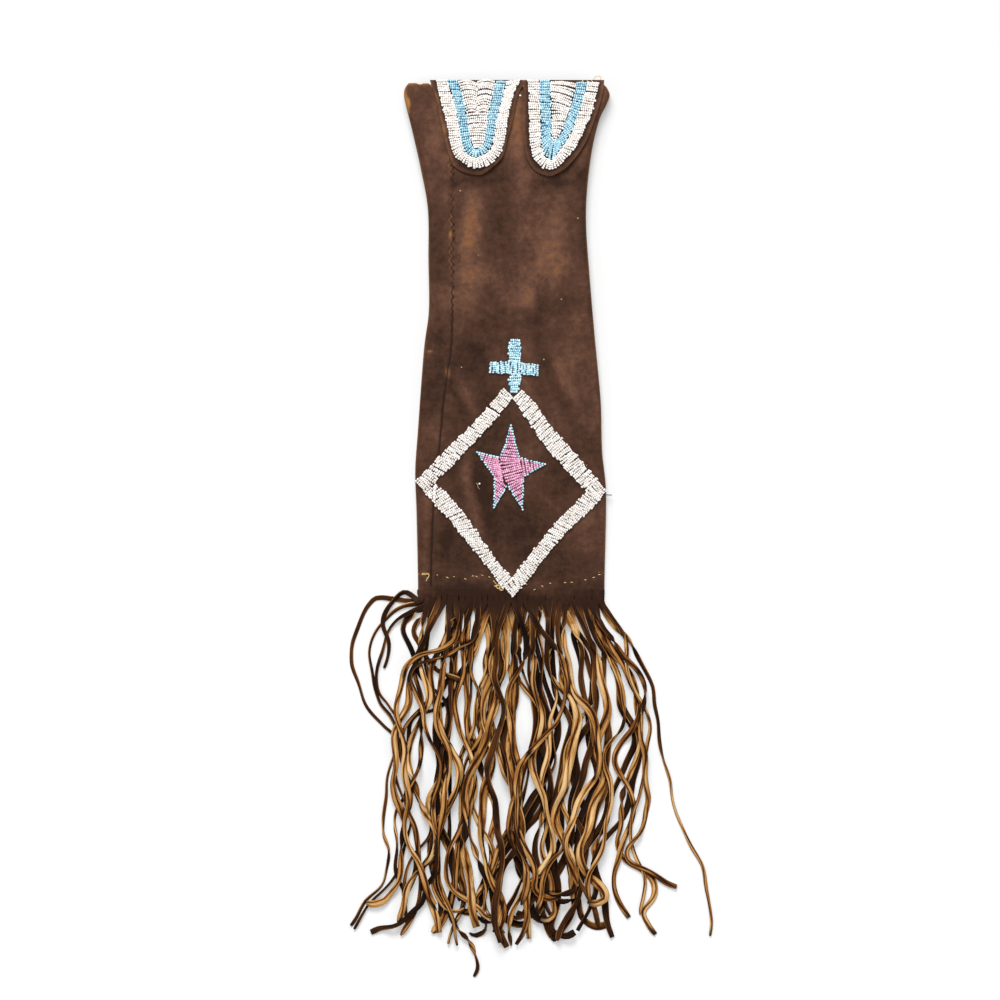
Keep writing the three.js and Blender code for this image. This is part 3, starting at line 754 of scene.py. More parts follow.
def pouchMarks(points, outside):
    x, y, z = points.T
    middle, half, radius = section(y)
    front = outside & (z > radius)
    tone = np.where(front, toneAt(x, y), np.where(outside, pouch["backTone"], pouch["innerTone"]))
    # wear and painted highlight along the side folds and the rim
    much, wide = wearAndHighlight["sides"]
    worn = much * bell(np.abs(x - middle) - half, wide) * (0.35 + 0.65 * np.sin(y / 23) ** 2)
    much, wide = wearAndHighlight["rim"]
    worn += much * bell(y - rimY, wide)
    start, end = onBag([wearAndHighlight["patchFrom"], wearAndHighlight["patchTo"]])
    along = np.clip((y - start[1]) / (end[1] - start[1]), 0, 1)
    away = np.hypot(x - start[0] - along * (end[0] - start[0]), y - start[1] - along * (end[1] - start[1]))
    away += 0.9 * np.sin(y / 1.9) * np.sin(y / 5.3 + x) + 1.4 * (1 - np.sin(np.pi * along))  # ragged
    much, wide = wearAndHighlight["patch"]
    worn += much * np.exp(-((away / wide) ** 4)) * front
    tuftX, tuftY = onBag([seam["tuft"]])[0]
    much, wide, long = wearAndHighlight["tuft"]
    worn += much * bell(x - tuftX, wide) * bell(y - tuftY, long) * front
    across = x - seamAt(y)
    sewn = front & (np.abs(across) < seam["reach"]) & (y > pouch["slits"] + 2)
    return {
        "tone": np.clip(tone, -1.2, 2.5),
        "worn": np.clip(worn, 0, 1),
        "seam": np.column_stack([across, y, sewn]),
        "stitched": ease(y, *seam["fades"]),
    }


def addPouch():
    outer = np.append(np.arange(pouch["slits"], rimY, pouch["step"]), rimY)
    inner = rimY - np.array(pouch["innerRings"] + [rimY - pouch["inside"]])
    lip = pouchRing(rimY, pouch["wall"] / 2)
    lip[:, 1] += pouch["lip"]
    rings = [pouchRing(y, 0) for y in outer] + [lip] + [pouchRing(y, pouch["wall"]) for y in inner]
    points = np.vstack(rings)
    outside = np.arange(len(points)) < len(outer) * len(lip)
    return addPiece("pouch_hide", points, loftFaces(len(rings), len(lip)), finishes["hide"], "bag", "hide",
                    ["pouch"], pouchMarks(points, outside), sharp=60)


pouchPiece = addPouch()
print("pouch made,", len(pouchPiece.data.polygons), "faces")


# The flaps, by picture points down each side of the leaf, of the white lane, and of the blue lane
flaps = {
    "left": {
        "leafLeft": [(430, 81), (437, 104), (441, 123), (446.5, 148), (453, 166), (465, 174), (477, 176)],
        "leafRight": [(523.45, 81), (522.8, 87), (518, 97), (512.5, 123), (507, 142), (502.5, 158),
                      (493, 168), (482, 175.6)],
        "whiteOuter": [(436, 81), (441, 104), (446.5, 122), (449.5, 142), (454, 156), (465, 165.5),
                       (477, 169.5), (490, 165), (501, 155), (505, 139), (508, 119), (513, 97),
                       (520, 81)],
        "whiteInner": [(447.5, 81), (454.5, 104), (458.5, 122), (461.5, 140), (463.5, 149.5),
                       (469, 156.5), (476, 158.5), (484, 156), (490.5, 150), (493.5, 140), (497, 121),
                       (501, 104), (506.5, 82)],
        "blueInner": [(458.5, 81), (464, 104), (468, 122), (470.5, 138), (472.3, 145), (474.5, 149),
                      (477, 150.5), (480.5, 149), (483.5, 145), (485.5, 138), (487, 121), (491, 104),
                      (495.5, 82)],
        "fill": [  # both sides of each lane, its gaps, and how far its rows bow
            ([(458.3, 82.5), (463.8, 104), (466.4, 115)],
             [(477.4, 84), (477.8, 104), (478, 115)], [(0.56, 0.8)], 1.7),
            ([(477.4, 82.5), (477.6, 104), (477.6, 115)],
             [(495.7, 82.5), (491.2, 104), (488.6, 115)], [(0.3, 0.8), (0.45, 0.7)], 1.7),
            ([(466.4, 115), (467.8, 122), (470.4, 138), (474, 150.2)],
             [(488.6, 115), (487.2, 121), (485.6, 138), (481, 150.2)], [], 0.6),
        ],
        "laneGaps": [],
        "body": "left_leaf",
    },
    "right": {
        "leafLeft": [(523.5, 81), (523.5, 97), (523, 120), (524, 145), (527, 160), (534.5, 171.5),
                     (547, 177.3)],
        "leafRight": [(604, 81), (602, 98), (595, 119), (588, 138.5), (579, 154), (566, 169), (552, 177)],
        "whiteOuter": [(527.5, 81), (528.6, 98), (529, 122), (530.5, 147), (534, 160), (541, 167.5),
                       (549, 171.3), (557, 168), (566, 159.5), (577.5, 145), (586, 126.5), (592.5, 112),
                       (598.7, 83.5)],
        "whiteInner": [(539.2, 81), (540, 98), (540.7, 122), (541, 144.5), (543.5, 153), (547, 158.5),
                       (550.5, 161), (554, 159), (558.5, 153), (565, 143.5), (573.5, 128), (580, 110),
                       (587.5, 83)],
        "blueInner": [(549.7, 81), (550.6, 98), (551.4, 122), (550.8, 137), (551.3, 141), (552.3, 143.3),
                      (553.8, 144), (555.4, 143), (557.5, 140), (560.5, 135.5), (566, 120.5), (571, 107),
                      (576.2, 83.5)],
        "fill": [
            ([(549.7, 83), (550.6, 98), (551.3, 120), (550.8, 134), (552, 143.6)],
             [(576.4, 84), (571.2, 106), (566.2, 120), (560.6, 135), (555.4, 143.6)],
             [(0.07, 0.8), (0.2, 0.9)], 1.0),
        ],
        "laneGaps": [(0.94, 0.9)],
        "body": "right_leaf",
    },
}
leaf = {
    "thickness": 1.4,
    "rows": 46,
    "columns": 44,
    "round": 0.7,  # height and width of the rounded edge
    "edge": 1.1,
    "roll": 0.5,  # height, place and width of the ridge inside it
    "rollAt": 1.7,
    "rollWidth": 1.1,
    "lift": 4.2,
    "gap": 0.05,
    "top": 2.0,  # past the hinge
    "full": 0.78,  # share of its box that the leaf fills
    "tone": -0.75,  # and what its edge adds, with the width of that
    "edgeTone": 1.2,
    "edgeToneWidth": 2.8,
}


def flapGrid(flap, rows, columns):
    left = curve(onBag(flap["leafLeft"]), rows)
    right = curve(onBag(flap["leafRight"]), rows)
    t = np.linspace(0, 1, columns)[None, :, None]
    return left[:, None] * (1 - t) + right[:, None] * t


def flapWave(x, y):  # the leaf isn't quite flat
    away = ease(hingeY - y, 6, 70)
    return leaf["gap"] + leaf["lift"] * away * (0.5 + 0.3 * np.sin(x / 9 + y / 21) + 0.2 * np.sin(y / 11))


def flapTop(x, y):
    return hingeZ + leaf["thickness"] / 2 + flapWave(x, y)


def leafFaces(rows, columns):  # an upper and a lower grid, closed round the edge
    index = np.arange(rows * columns).reshape(rows, columns)
    quads = np.stack([index[:-1, :-1], index[:-1, 1:], index[1:, 1:], index[1:, :-1]], -1).reshape(-1, 4)
    loop = np.concatenate([index[0], index[1:, -1], index[-1, -2::-1], index[-2:0:-1, 0]])
    after = np.roll(loop, -1)
    wall = np.stack([loop, loop + index.size, after + index.size, after], -1)
    return quads.tolist() + (quads[:, ::-1] + index.size).tolist() + wall.tolist()


def addFlap(name, flap):
    grid = flapGrid(flap, leaf["rows"], leaf["columns"])
    grid[:, :, 1] = np.minimum(grid[:, :, 1], hingeY + leaf["top"])
    flat = grid.reshape(-1, 2)
    outline = spaced(np.vstack([grid[:, 0], grid[-1], grid[::-1, -1]]), 0.5)
    away = np.min(np.linalg.norm(flat[:, None] - outline[None], axis=2), axis=1)
    x, y = flat.T
    drop = leaf["round"] * (1 - np.sqrt(1 - (1 - np.clip(away / leaf["edge"], 0, 1)) ** 2))
    hinge = np.clip((y - hingeY) / leaf["top"], 0, 1)
    drop = np.maximum(drop, leaf["thickness"] / 2 * (1 - np.sqrt(1 - hinge**2)))
    ridge = leaf["roll"] * bell(away - leaf["rollAt"], leaf["rollWidth"]) * ease(hingeY - y, 4, 14)
    top = flapTop(x, y) - drop + ridge
    bottom = flapTop(x, y) - leaf["thickness"] + np.minimum(drop, 0.6 * leaf["thickness"])
    bottom = np.minimum(bottom, top)
    points = np.vstack([np.column_stack([x, y, top]), np.column_stack([x, y, bottom])])
    # the leaf's cut edge: its paler colour and a painted highlight
    worn = bell(away, 0.6) * (0.1 + 0.2 * np.sin(x / 5) * np.sin(y / 7))
    tone = leaf["edgeTone"] * bell(away, leaf["edgeToneWidth"]) + leaf["tone"]
    marks = {"tone": np.tile(tone, 2), "worn": np.tile(worn, 2)}
    faces = leafFaces(leaf["rows"], leaf["columns"])
    piece = addPiece(f"{name}_flap_leaf", points, faces, finishes["hide"], flap["body"], "hide",
                     [f"{name}_flap"], marks)
    edges = onBag(flap["leafLeft"] + flap["leafRight"])


for flapName, flap in flaps.items():
    addFlap(flapName, flap)
print("flaps made")


# Beads are strung across each lane, row by row
beadwork = {
    "pitch": 1.58,
    "loosest": 1.04,  # the pitch is stretched to this at most
    "shortest": 1.4,  # a row
    "length": 1.5,
    "sizeSpread": 0.07,
    "hump": 0.3,  # a row stands off the hide in its middle
    "seat": 0.92,  # share of its radius that a bead stands off the hide
    "lean": 0.07,
    "feel": 0.6,  # the hide's slope is taken over this much to each side
    "tint": (0.74, 0.2),
    "holeShade": 0.6,
    "holeAt": 0.36,  # each end dents in to this share of the length
    "sides": 8,
    "seed": 41,
}
# How even each design is sewn
steady = {
    "radius": 1.06,
    "rowPitch": 2.03,
    "rowStray": 0.12,
    "beadStray": 0.1,
    "ragged": 0.4,  # at the ends of the rows
    "tilt": 0.03,
    "shift": 0.45,
}
sewing = {
    "white": {**steady, "rowPitch": 2.0, "rowStray": 0.1, "tilt": 0.02},
    "fill": {**steady, "radius": 1.0, "rowStray": 0.14, "shift": 0.4},
    "blue": {**steady, "radius": 1.01},
    "diamond": {**steady, "radius": 1.12, "rowPitch": 2.05, "rowStray": 0.15, "beadStray": 0.17,
                "ragged": 0.6, "tilt": 0.05},
    "cross": {**steady, "radius": 1.07, "rowPitch": 2.05, "rowStray": 0.2, "beadStray": 0.2, "ragged": 0.7,
              "tilt": 0.05, "shift": 0.4},
    "star": {**steady, "radius": 0.98, "rowPitch": 2.1, "rowStray": 0.16, "beadStray": 0.12, "ragged": 0.3,
             "shift": 0.12},
}
beadProfile = [(-0.5, 0.44), (-0.37, 0.86), (0.0, 1.0), (0.37, 0.86), (0.5, 0.44)]
chance = np.random.default_rng(beadwork["seed"])


def beadShape():
    sides = beadwork["sides"]
    angles = np.arange(sides) * 2 * math.pi / sides
    circle = np.column_stack([np.zeros(sides), np.cos(angles), np.sin(angles)])
    rings = [circle * radius + (at, 0, 0) for at, radius in beadProfile]
    points = np.vstack([*rings, [[-beadwork["holeAt"], 0, 0], [beadwork["holeAt"], 0, 0]]])
    faces = ringFaces(len(rings), sides)
    last = (len(rings) - 1) * sides
    for k in range(sides):
        after = (k + 1) % sides
        faces.append([k, len(points) - 2, after])
        faces.append([last + k, last + after, len(points) - 1])
    return points, faces


beadPoints, beadFaces = beadShape()
beadDepth = 1 - np.hypot(beadPoints[:, 1], beadPoints[:, 2])  # towards the hole at each end


def laneRows(style, firstRail, lastRail, gaps=()):  # ends of each row between two rails of picture points
    first = curve(onBag(firstRail), 500)
    last = curve(onBag(lastRail), 500)
    lengths = lengthsAlong((first + last) / 2)
    count = max(1, round(lengths[-1] / style["rowPitch"]))
    at = (np.arange(count) + 0.5) / count * lengths[-1] + chance.normal(0, style["rowStray"], count)
    for share, width in gaps:
        place = share * lengths[-1]
        at = at + np.where(at > place, 1, -1) * width / 2 * np.exp(-np.abs(at - place) / (3 * width))
    return np.stack([pointsAt(first, lengths, at), pointsAt(last, lengths, at)], 1)


def strungRow(style, start, end, arch=0.0):  # bead middles along one row, its direction and its hump
    run = end - start
    length = np.linalg.norm(run)
    turn = math.atan2(run[1], run[0]) + chance.normal(0, style["tilt"])
    ahead = np.array([math.cos(turn), math.sin(turn)])
    aside = np.array([-ahead[1], ahead[0]])
    filled = length + chance.normal(0, style["ragged"])
    count = max(1, round(filled / beadwork["pitch"]))
    pitch = min(beadwork["pitch"], max(filled, beadwork["shortest"]) / count * beadwork["loosest"])
    along = (np.arange(count) - (count - 1) / 2) * pitch + chance.uniform(-1, 1) * style["shift"]
    share = along / max(length, beadwork["pitch"]) * 2
    bow = arch * (1 - share**2) + chance.normal(0, style["beadStray"], count)
    middles = (start + end) / 2 + along[:, None] * ahead + bow[:, None] * aside
    return middles, np.tile(ahead, (count, 1)), np.clip(1 - share**2, 0, 1)


def strungRows(style, rows, arch=0.0):
    strung = [strungRow(style, start, end, arch) for start, end in rows]
    return [np.concatenate(columns) for columns in zip(*strung)]


def sewnLanes(style, lanes):
    return [strungRows(style, laneRows(style, *lane[:3]), *lane[3:]) for lane in lanes]


def addBeads(name, style, lanes, surface, finish, body, slot, replaced=()):
    middles, ahead, hump = [np.concatenate(columns) for columns in zip(*lanes)]
    x, y = middles.T
    count = len(x)
    feel = beadwork["feel"]
    slopeX = (surface(x + feel, y) - surface(x - feel, y)) / (2 * feel)
    slopeY = (surface(x, y + feel) - surface(x, y - feel)) / (2 * feel)
    normal = np.column_stack([-slopeX, -slopeY, np.ones(count)])
    normal /= np.linalg.norm(normal, axis=1)[:, None]
    axis = np.column_stack([ahead, (ahead * np.column_stack([slopeX, slopeY])).sum(1)])
    axis += chance.normal(0, beadwork["lean"], axis.shape)
    axis /= np.linalg.norm(axis, axis=1)[:, None]
    side = np.cross(normal, axis)
    side /= np.linalg.norm(side, axis=1)[:, None]
    up = np.cross(axis, side)
    radius = style["radius"] * (1 + chance.normal(0, beadwork["sizeSpread"], count))
    off = radius * beadwork["seat"] + beadwork["hump"] * hump
    centre = np.column_stack([x, y, surface(x, y)]) + normal * off[:, None]
    stretch = beadwork["length"] * (1 + chance.normal(0, beadwork["sizeSpread"], count))
    places = centre[:, None] + axis[:, None] * beadPoints[None, :, :1] * stretch[:, None, None]
    wide = side[:, None] * beadPoints[None, :, 1:2]
    tall = up[:, None] * beadPoints[None, :, 2:3]
    places = places + radius[:, None, None] * (wide + tall)
    faces = []
    for k in range(count):
        faces += [[corner + k * len(beadPoints) for corner in face] for face in beadFaces]
    # painted shade: each bead darker towards its ends, where it meets the next
    tint = chance.normal(*beadwork["tint"], count)[:, None] - beadwork["holeShade"] * beadDepth[None]
    marks = {"tint": np.clip(tint, 0, 1).ravel()}
    addPiece(name, places.reshape(-1, 3), faces, finish, body, slot, replaced, marks)
    print(name, "has", count, "beads")


for flapName, flap in flaps.items():
    flapLanes = {
        "white": [(flap["whiteOuter"], flap["whiteInner"], flap["laneGaps"])],
        "fill": flap["fill"],
        "blue": [(flap["whiteInner"], flap["blueInner"])],
    }
    for kind, lanes in flapLanes.items():
        colour = "blue" if kind == "blue" else "white"
        strung = sewnLanes(sewing[kind], lanes)
        addBeads(f"{flapName}_flap_{kind}_rows", sewing[kind], strung, flapTop, finishes[colour],
                 flap["body"], f"{colour}_beads", [f"{flapName}_flap_{kind}_beads"])

# The diamond's lanes, each by its outer and inner side and its gaps: at a corner one lane runs through and
# the next is sewn against it
diamond = {
    "upper_left": ([(503.4, 387.6), (490, 403.8), (471, 426.2), (455.3, 440.2), (429, 467), (415.8, 481)],
                   [(513.4, 397.2), (501.6, 412.6), (483.6, 432.1), (468.6, 448.6), (443, 475),
                    (425.4, 493.2)],
                   [(0.17, 1.6)]),
    "upper_right": ([(521.7, 389.6), (535, 403.4), (553, 428.4), (574, 452.4), (591.6, 472.6), (598, 480)],
                    [(512.2, 398.8), (523.3, 414.6), (540.3, 439.6), (560.3, 463.6), (579, 484),
                     (586.4, 492)],
                    []),
    "lower_left": ([(425.6, 494), (431, 500.4), (448.8, 519), (467, 542), (488.6, 569), (502.4, 589)],
                   [(436, 483), (444.8, 491.4), (464, 512.6), (483, 540.6), (498, 561.6), (513.6, 578.6)],
                   []),
    "lower_right": ([(606, 491.6), (590.6, 510), (568.6, 530), (548.6, 553), (533.6, 573), (521, 588),
                     (513, 596.6)],
                    [(597.4, 479.6), (576.4, 501.4), (554.4, 523.4), (537.4, 545.4), (523.4, 562.4),
                     (514, 575), (503.6, 587.6)],
                    []),
}
diamondLanes = sewnLanes(sewing["diamond"], diamond.values())
addBeads("diamond_rows", sewing["diamond"], diamondLanes, frontTop, finishes["white"], "bag", "white_beads",
         [f"diamond_{name}_beads" for name in diamond])

# Two white beads off on their own
oddBeads = [((519, 96.5), (520.6, 97)), ((479, 483.2), (480.4, 482.8))]
small = {**sewing["diamond"], "radius": 0.8}
oddRows = strungRows(small, [onBag(ends) for ends in oddBeads])
addBeads("odd_beads", small, [oddRows], frontTop, finishes["white"], "bag", "white_beads")

# The cross, as lanes between picture points
cross = {
    "head": ([(509.6, 339.3), (508.7, 350), (509, 361.5)], [(520.2, 339.3), (520.5, 350), (521, 362.5)]),
    "bar": ([(490, 362), (501, 362), (514, 361.5), (527, 363), (538.3, 365)],
            [(489.5, 373.6), (501, 374), (514, 374), (527, 375.6), (538.3, 376.6)]),
    "foot": ([(509.5, 373.2), (509, 384), (511.2, 393.4)], [(521, 374.2), (520.3, 384), (517.4, 393.4)]),
}
crossLanes = sewnLanes(sewing["cross"], cross.values())
addBeads("cross_rows", sewing["cross"], crossLanes, frontTop, finishes["sky"], "bag", "blue_beads",
         [f"cross_{name}_beads" for name in cross])

# The star: arms from tip to notches, pink rows that end in blue beads, and groups of rows in its middle
star = {
    "tips": [(511, 424.5), (546.5, 464), (523, 511), (493.8, 508.8), (476.3, 451.5)],
    "notches": [(500, 456.5), (520.5, 457.5), (524, 477), (507.5, 486.5), (493.5, 477)],
    "names": ["top", "right", "lower_right", "lower_left", "left"],
    "middle": [
        ([(499.6, 457), (500.6, 464.6)], [(521, 458), (519.4, 464)]),
        ([(501.2, 466), (502.2, 473), (504.8, 479), (508.2, 485.2)],
         [(519.4, 462.6), (522, 467.6), (523.4, 473), (524, 478.6)]),
        ([(498.6, 459.5), (500.2, 466), (501.6, 473)], [(493.8, 477), (498.6, 480.6), (503.6, 484)]),
    ],
}


def starLanes(style):
    pink, blue = [], []
    count = len(star["tips"])
    for k in range(count):
        tip = star["tips"][k]
        before = star["notches"][k]
        after = star["notches"][(k + 1) % count]
        for start, end in laneRows(style, [tip, before], [tip, after]):
            strung = strungRow(style, start, end)
            outer = np.zeros(len(strung[0]), bool)
            outer[[0, -1]] = True
            blue.append([column[outer] for column in strung])
            pink.append([column[~outer] for column in strung])
    for first, last in star["middle"]:
        pink += [strungRow(style, start, end) for start, end in laneRows(style, first, last)]
    return pink, blue


starPink, starBlue = starLanes(sewing["star"])
addBeads("star_pink_rows", sewing["star"], starPink, frontTop, finishes["pink"], "bag", "pink_beads",
         [f"star_{name}_beads" for name in star["names"] + ["middle"]])
addBeads("star_blue_edge", sewing["star"], starBlue, frontTop, finishes["sky"], "bag", "blue_beads",
         ["star_edge_beads"])
print("beadwork sewn on")


# The fringe: thongs cut from both panels, which lie on one another as they fell
fringe = {
    "count": 32,  # thongs in a panel
    "width": 149.0,  # across all the roots
    "lean": -0.9,
    "rootGap": 0.5,
    "thickness": 1.5,
    "length": 230.0,
    "ragged": 46.0,  # how much longer the longest are
    "waves": (1.2, 2.8),  # fewest and most along a thong
    "wave": 6.0,  # how far at most a thong waves, and so on
    "waveGrows": (0.05, 0.35),  # shares of its length between which it does, and so on
    "wander": 8.0,  # strays by its end
    "early": 6.0,  # starts aside
    "earlyGrows": (0.0, 0.12),
    "askew": 8.0,  # swerves below its root
    "askewGrows": (0.0, 0.1),
    "askewFades": (0.1, 0.4),
    "hook": 13.0,  # turns its end
    "hookGrows": (0.72, 1.0),
    "curl": 16.0,  # curls its end
    "leastCurl": 8.8,
    "curlShape": [(0.1, 8), (0.45, 2), (0.95, 0), (1.4, 2)],  # share of the curl, and rise
    "leanAt": [0, 0.2, 0.4, 0.6, 0.8, 1],  # shares of the length
    "bends": [(5.0, 1.4, 70.0), (3.5, 2.3, -43.0)],  # shared ones: reach, waves, width of a bunch
    "bendsGrow": (0.0, 0.3),
    "kinks": [(0.5, 38.0), (0.12, 17.0)],  # reach and shortest length of small bends
    "kinksGrow": (25.0, 70.0),
    "sway": 1.7,  # a thong's own slow wave, and its length
    "swayLength": (46.0, 26.0),
    "slit": (2.0, 13.0),  # the least and what chance adds, here and below
    "turnFrom": (4.0, 44.0),  # below the slit a thong begins to turn over
    "turnLength": (12.0, 14.0),
    "turnSpread": 28.0,  # degrees
    "rock": 22.0,
    "rockLength": (60.0, 50.0),
    "tilt": 35.0,
    "rollLength": (40.0, 30.0),  # of a full roll
    "foldTurn": 38.0,  # degrees that its hollow moves to each side of the top
    "foldLength": (50.0, 40.0),
    "hollow": (17.0, 0.5),  # half width in degrees, and depth
    "burntShare": 0.45,  # of the ends
    "burnt": (10.0, 0.9),  # length and strength of a burnt end
    "plain": (3.0, 0.4),  # and of any other
    "fine": (1.3, 0.15),  # half widths of the loops and the outermost thong
    "coarse": (1.7, 1.9),  # and of the others
    "widestStray": 2.3,
    "swells": [(0.1, 11.0, 9.0), (0.07, 4.0, 3.0)],  # share of the width, shortest length, what chance adds
    "bluntShare": 0.65,  # of the ends
    "blunt": 0.85,  # width that a blunt end keeps
    "pointed": 0.4,  # and any other
    "tip": 5.0,
    "pressed": 0.7,  # share of its height that a thong keeps under the next
    "firm": 11.0,  # above this the pile settles, by its give
    "give": 9.0,
    "flatter": 0.35,
    "settles": (2.0, 20.0),  # below the slit a thong comes down on the pile
    "soften": 6,
    "deep": (0.5, 3.6),  # below the top of the pile it gets painted shade
    "cell": 1.0,  # of the height map that the thongs pile up on
    "cells": 380,
    "corner": (-170.0, -350.0),
    "near": 2,  # cells that a thong covers to each side
    "step": 3,  # between the rings of a thong
    "seed": 7,
}
# The panels: how far the crowd leans at the left, in the middle and at the right, and single thongs by their
# number from the left, with the places that they run through below the root
panels = {
    "back": {
        "seed": 71,
        "foot": 0.0,
        "late": 24.0,  # its thongs part this much lower
        "spare": 0.5,  # its roots overlap by this to each side
        "startTurn": 0.0,
        "phase": 0.55,
        "leans": ([0, -8, -17, -13, -12, -10], [0, 2, 4, 1, -3, -7], [0, 22, 37, 25, -2, -4]),
        "loops": (0, 1, 2),
        "paleShare": (0.8, 0.8, 0.65, 0.3, 0.3, 0.7),  # left to right
        "pale": {  # or not, whatever chance says
            3: False, 4: False, 8: False, 29: True, 31: False,
        },
        "darkEnds": {12: 0.85, 31: 0.45},  # from this share of the length
        "strays": {
            0: [(-103, -17), (-113, -21), (-123, -36), (-127.5, -62), (-127, -76), (-118, -98),
                (-103, -120), (-89, -136), (-86, -170), (-94, -202), (-91, -234), (-86, -262)],
            1: [(-86, -23), (-98, -30), (-108, -42), (-113, -62), (-112, -84), (-106, -98), (-96, -112),
                (-93, -134), (-103, -182), (-102, -202), (-98, -218), (-102, -234), (-105, -248),
                (-117, -261), (-130, -278)],
            2: [(-81, -28), (-93, -36), (-102, -50), (-108, -73), (-106, -90), (-98, -103), (-90, -122),
                (-92, -154), (-88, -178), (-81, -198), (-86, -222), (-98, -242), (-112, -262),
                (-127, -281)],
            12: [(-30, -60), (-38, -110), (-30, -160), (-42, -210), (-48, -262), (-43, -278),
                 (-37, -289), (-32, -300), (-28, -312), (-30, -320)],
            29: [(74, -50), (90, -73), (101, -98), (102, -126), (96, -154), (88, -182), (84, -210),
                 (93, -226), (109, -239), (113, -253), (106, -267), (110, -276), (116, -285)],
            31: [(76, -30), (85, -42), (96, -54), (105, -68), (111, -86), (113, -102), (117, -119),
                 (121, -138), (124, -162), (130, -184), (138, -201), (146, -221), (153, -240),
                 (159, -259), (160, -274), (158, -287)],
        },
        "crossing": {
            3: [(-70, -24), (-82, -32), (-87, -42), (-83, -55), (-74, -75), (-65, -87), (-55, -100),
                (-50, -120), (-54, -145), (-48, -175), (-52, -205), (-46, -235), (-50, -258)],
            4: [(-64, -26), (-76, -36), (-79, -46), (-71, -58), (-62, -70), (-52, -79), (-37, -87)],
            8: [(-36, -50), (-39, -73), (-46, -90), (-61, -104), (-77, -114), (-83, -126), (-86, -146),
                (-80, -170), (-86, -198), (-78, -228), (-84, -256)],
        },
    },
    "front": {
        "seed": 11,
        "foot": 2.06,
        "late": 0.0,
        "spare": 0.0,
        "startTurn": 180.0,
        "phase": 0.1,
        "leans": ([0, -10, -19, -20, -23, -20], [0, -3, -5, -4, -6, -2], [0, 20, 38, 34, 15, 18]),
        "loops": (0,),
        "paleShare": (1, 1, 1, 0.6, 0.55, 0.95),
        "pale": {0: False, 5: True, 6: True, 10: True, 30: True},
        "darkEnds": {5: 0.6},
        "strays": {
            0: [(-86, -12), (-97, -22), (-102, -36), (-100, -54), (-102, -73)],
            5: [(-52, -60), (-60, -110), (-50, -150), (-58, -200), (-60, -231), (-69, -246), (-72, -261),
                (-84, -273), (-94, -278), (-106, -280), (-113, -284)],
            6: [(-43, -38), (-46, -49), (-56, -56), (-72, -64), (-85, -72), (-90, -84), (-91, -102),
                (-89, -126), (-86, -146), (-83, -170), (-86, -194), (-80, -218), (-70, -242),
                (-61, -262)],
            10: [(-30, -48), (-45, -57), (-62, -66), (-76, -73), (-81, -82), (-78, -95), (-71, -108),
                 (-66, -126), (-58, -154), (-62, -190), (-58, -231), (-56, -246), (-51, -267),
                 (-46, -282), (-42, -294)],
            18: [(22, -40), (36, -60), (44, -88), (38, -112), (20, -132), (6, -156), (2, -190),
                 (10, -226), (8, -262)],
            30: [(70, -36), (84, -54), (98, -73), (105, -90), (106, -110), (102, -130), (106, -150),
                 (110, -174), (105, -188), (102, -204), (94, -220), (97, -229), (110, -238), (122, -244),
                 (132, -246)],
        },
        "crossing": {},
    },
}
thongPitch = fringe["width"] / fringe["count"]
rootWidth = thongPitch - fringe["rootGap"]
luck = np.random.default_rng(fringe["seed"])
heightMap = np.zeros((fringe["cells"], fringe["cells"]))
span = range(-fringe["near"], fringe["near"] + 1)
nearCells = np.array([(i, j) for i in span for j in span if i * i + j * j <= fringe["near"] ** 2 + 1])

# A thong's section, flat at the root and rolled further down
flatSection = np.array([(-1, 1), (-0.74, 1), (-0.4, 1), (0, 1), (0.4, 1), (0.74, 1), (1, 1), (1, 0),
                        (1, -1), (0.74, -1), (0.4, -1), (0, -1), (-0.4, -1), (-0.74, -1), (-1, -1),
                        (-1, 0)], float)
rolledAngles = np.array([152, 130, 110, 90, 70, 50, 28, 0, -28, -50, -70, -90, -110, -130, -152, 180.0])
rolledSection = np.column_stack([np.cos(np.radians(rolledAngles)), np.sin(np.radians(rolledAngles))])
cutSides = np.abs(flatSection[:, 0]) == 1


def drawn(name):
    least, more = fringe[name]
    return least + more * luck.random()


def thongSeed(panel, place):
    return place * 3.7 + panel["seed"]


def thongRoute(panel, place):
    seed = thongSeed(panel, place)
    across = (place + 0.5) / fringe["count"] - 0.5
    rootX = fringe["lean"] + across * fringe["width"]
    rootY = -pouch["header"] - rootWidth / 2
    route = [(rootX, pouch["slits"]), (rootX, pouch["slits"] - 4.5), (rootX, rootY)]
    own = panel["strays"].get(place) or panel["crossing"].get(place)
    if own:
        return route + own
    length = fringe["length"] + fringe["ragged"] * scatter(seed + 1)
    fewest, most = fringe["waves"]
    waves = fewest + (most - fewest) * scatter(seed + 2)
    phase = scatter(seed + 3)
    wander, hook, early, askew, curl = [
        eitherWay(seed + draw, fringe[name])
        for draw, name in enumerate(("wander", "hook", "early", "askew", "curl"), 4)
    ]
    along = np.arange(1, 11) / 10
    left, middle, right = [np.interp(along, fringe["leanAt"], leans) for leans in panel["leans"]]
    part = 2 * across
    x = rootX + middle + part * (right - left) / 2 + part * part * ((right + left) / 2 - middle)
    x += fringe["wave"] * ease(along, *fringe["waveGrows"]) * swing(waves * along + phase)
    for amount, turns, bunch in fringe["bends"]:
        bend = swing(turns * along + rootX / bunch + panel["phase"])
        x += amount * ease(along, *fringe["bendsGrow"]) * bend
    aside = wander * along + early * ease(along, *fringe["earlyGrows"])
    x += aside + hook * ease(along, *fringe["hookGrows"])
    x += askew * ease(along, *fringe["askewGrows"]) * (1 - ease(along, *fringe["askewFades"]))
    route += zip(x, rootY - along * length)
    if abs(curl) > fringe["leastCurl"]:
        endX, endY = route.pop()
        route += [(endX + share * curl, endY + rise) for share, rise in fringe["curlShape"]]
    return route


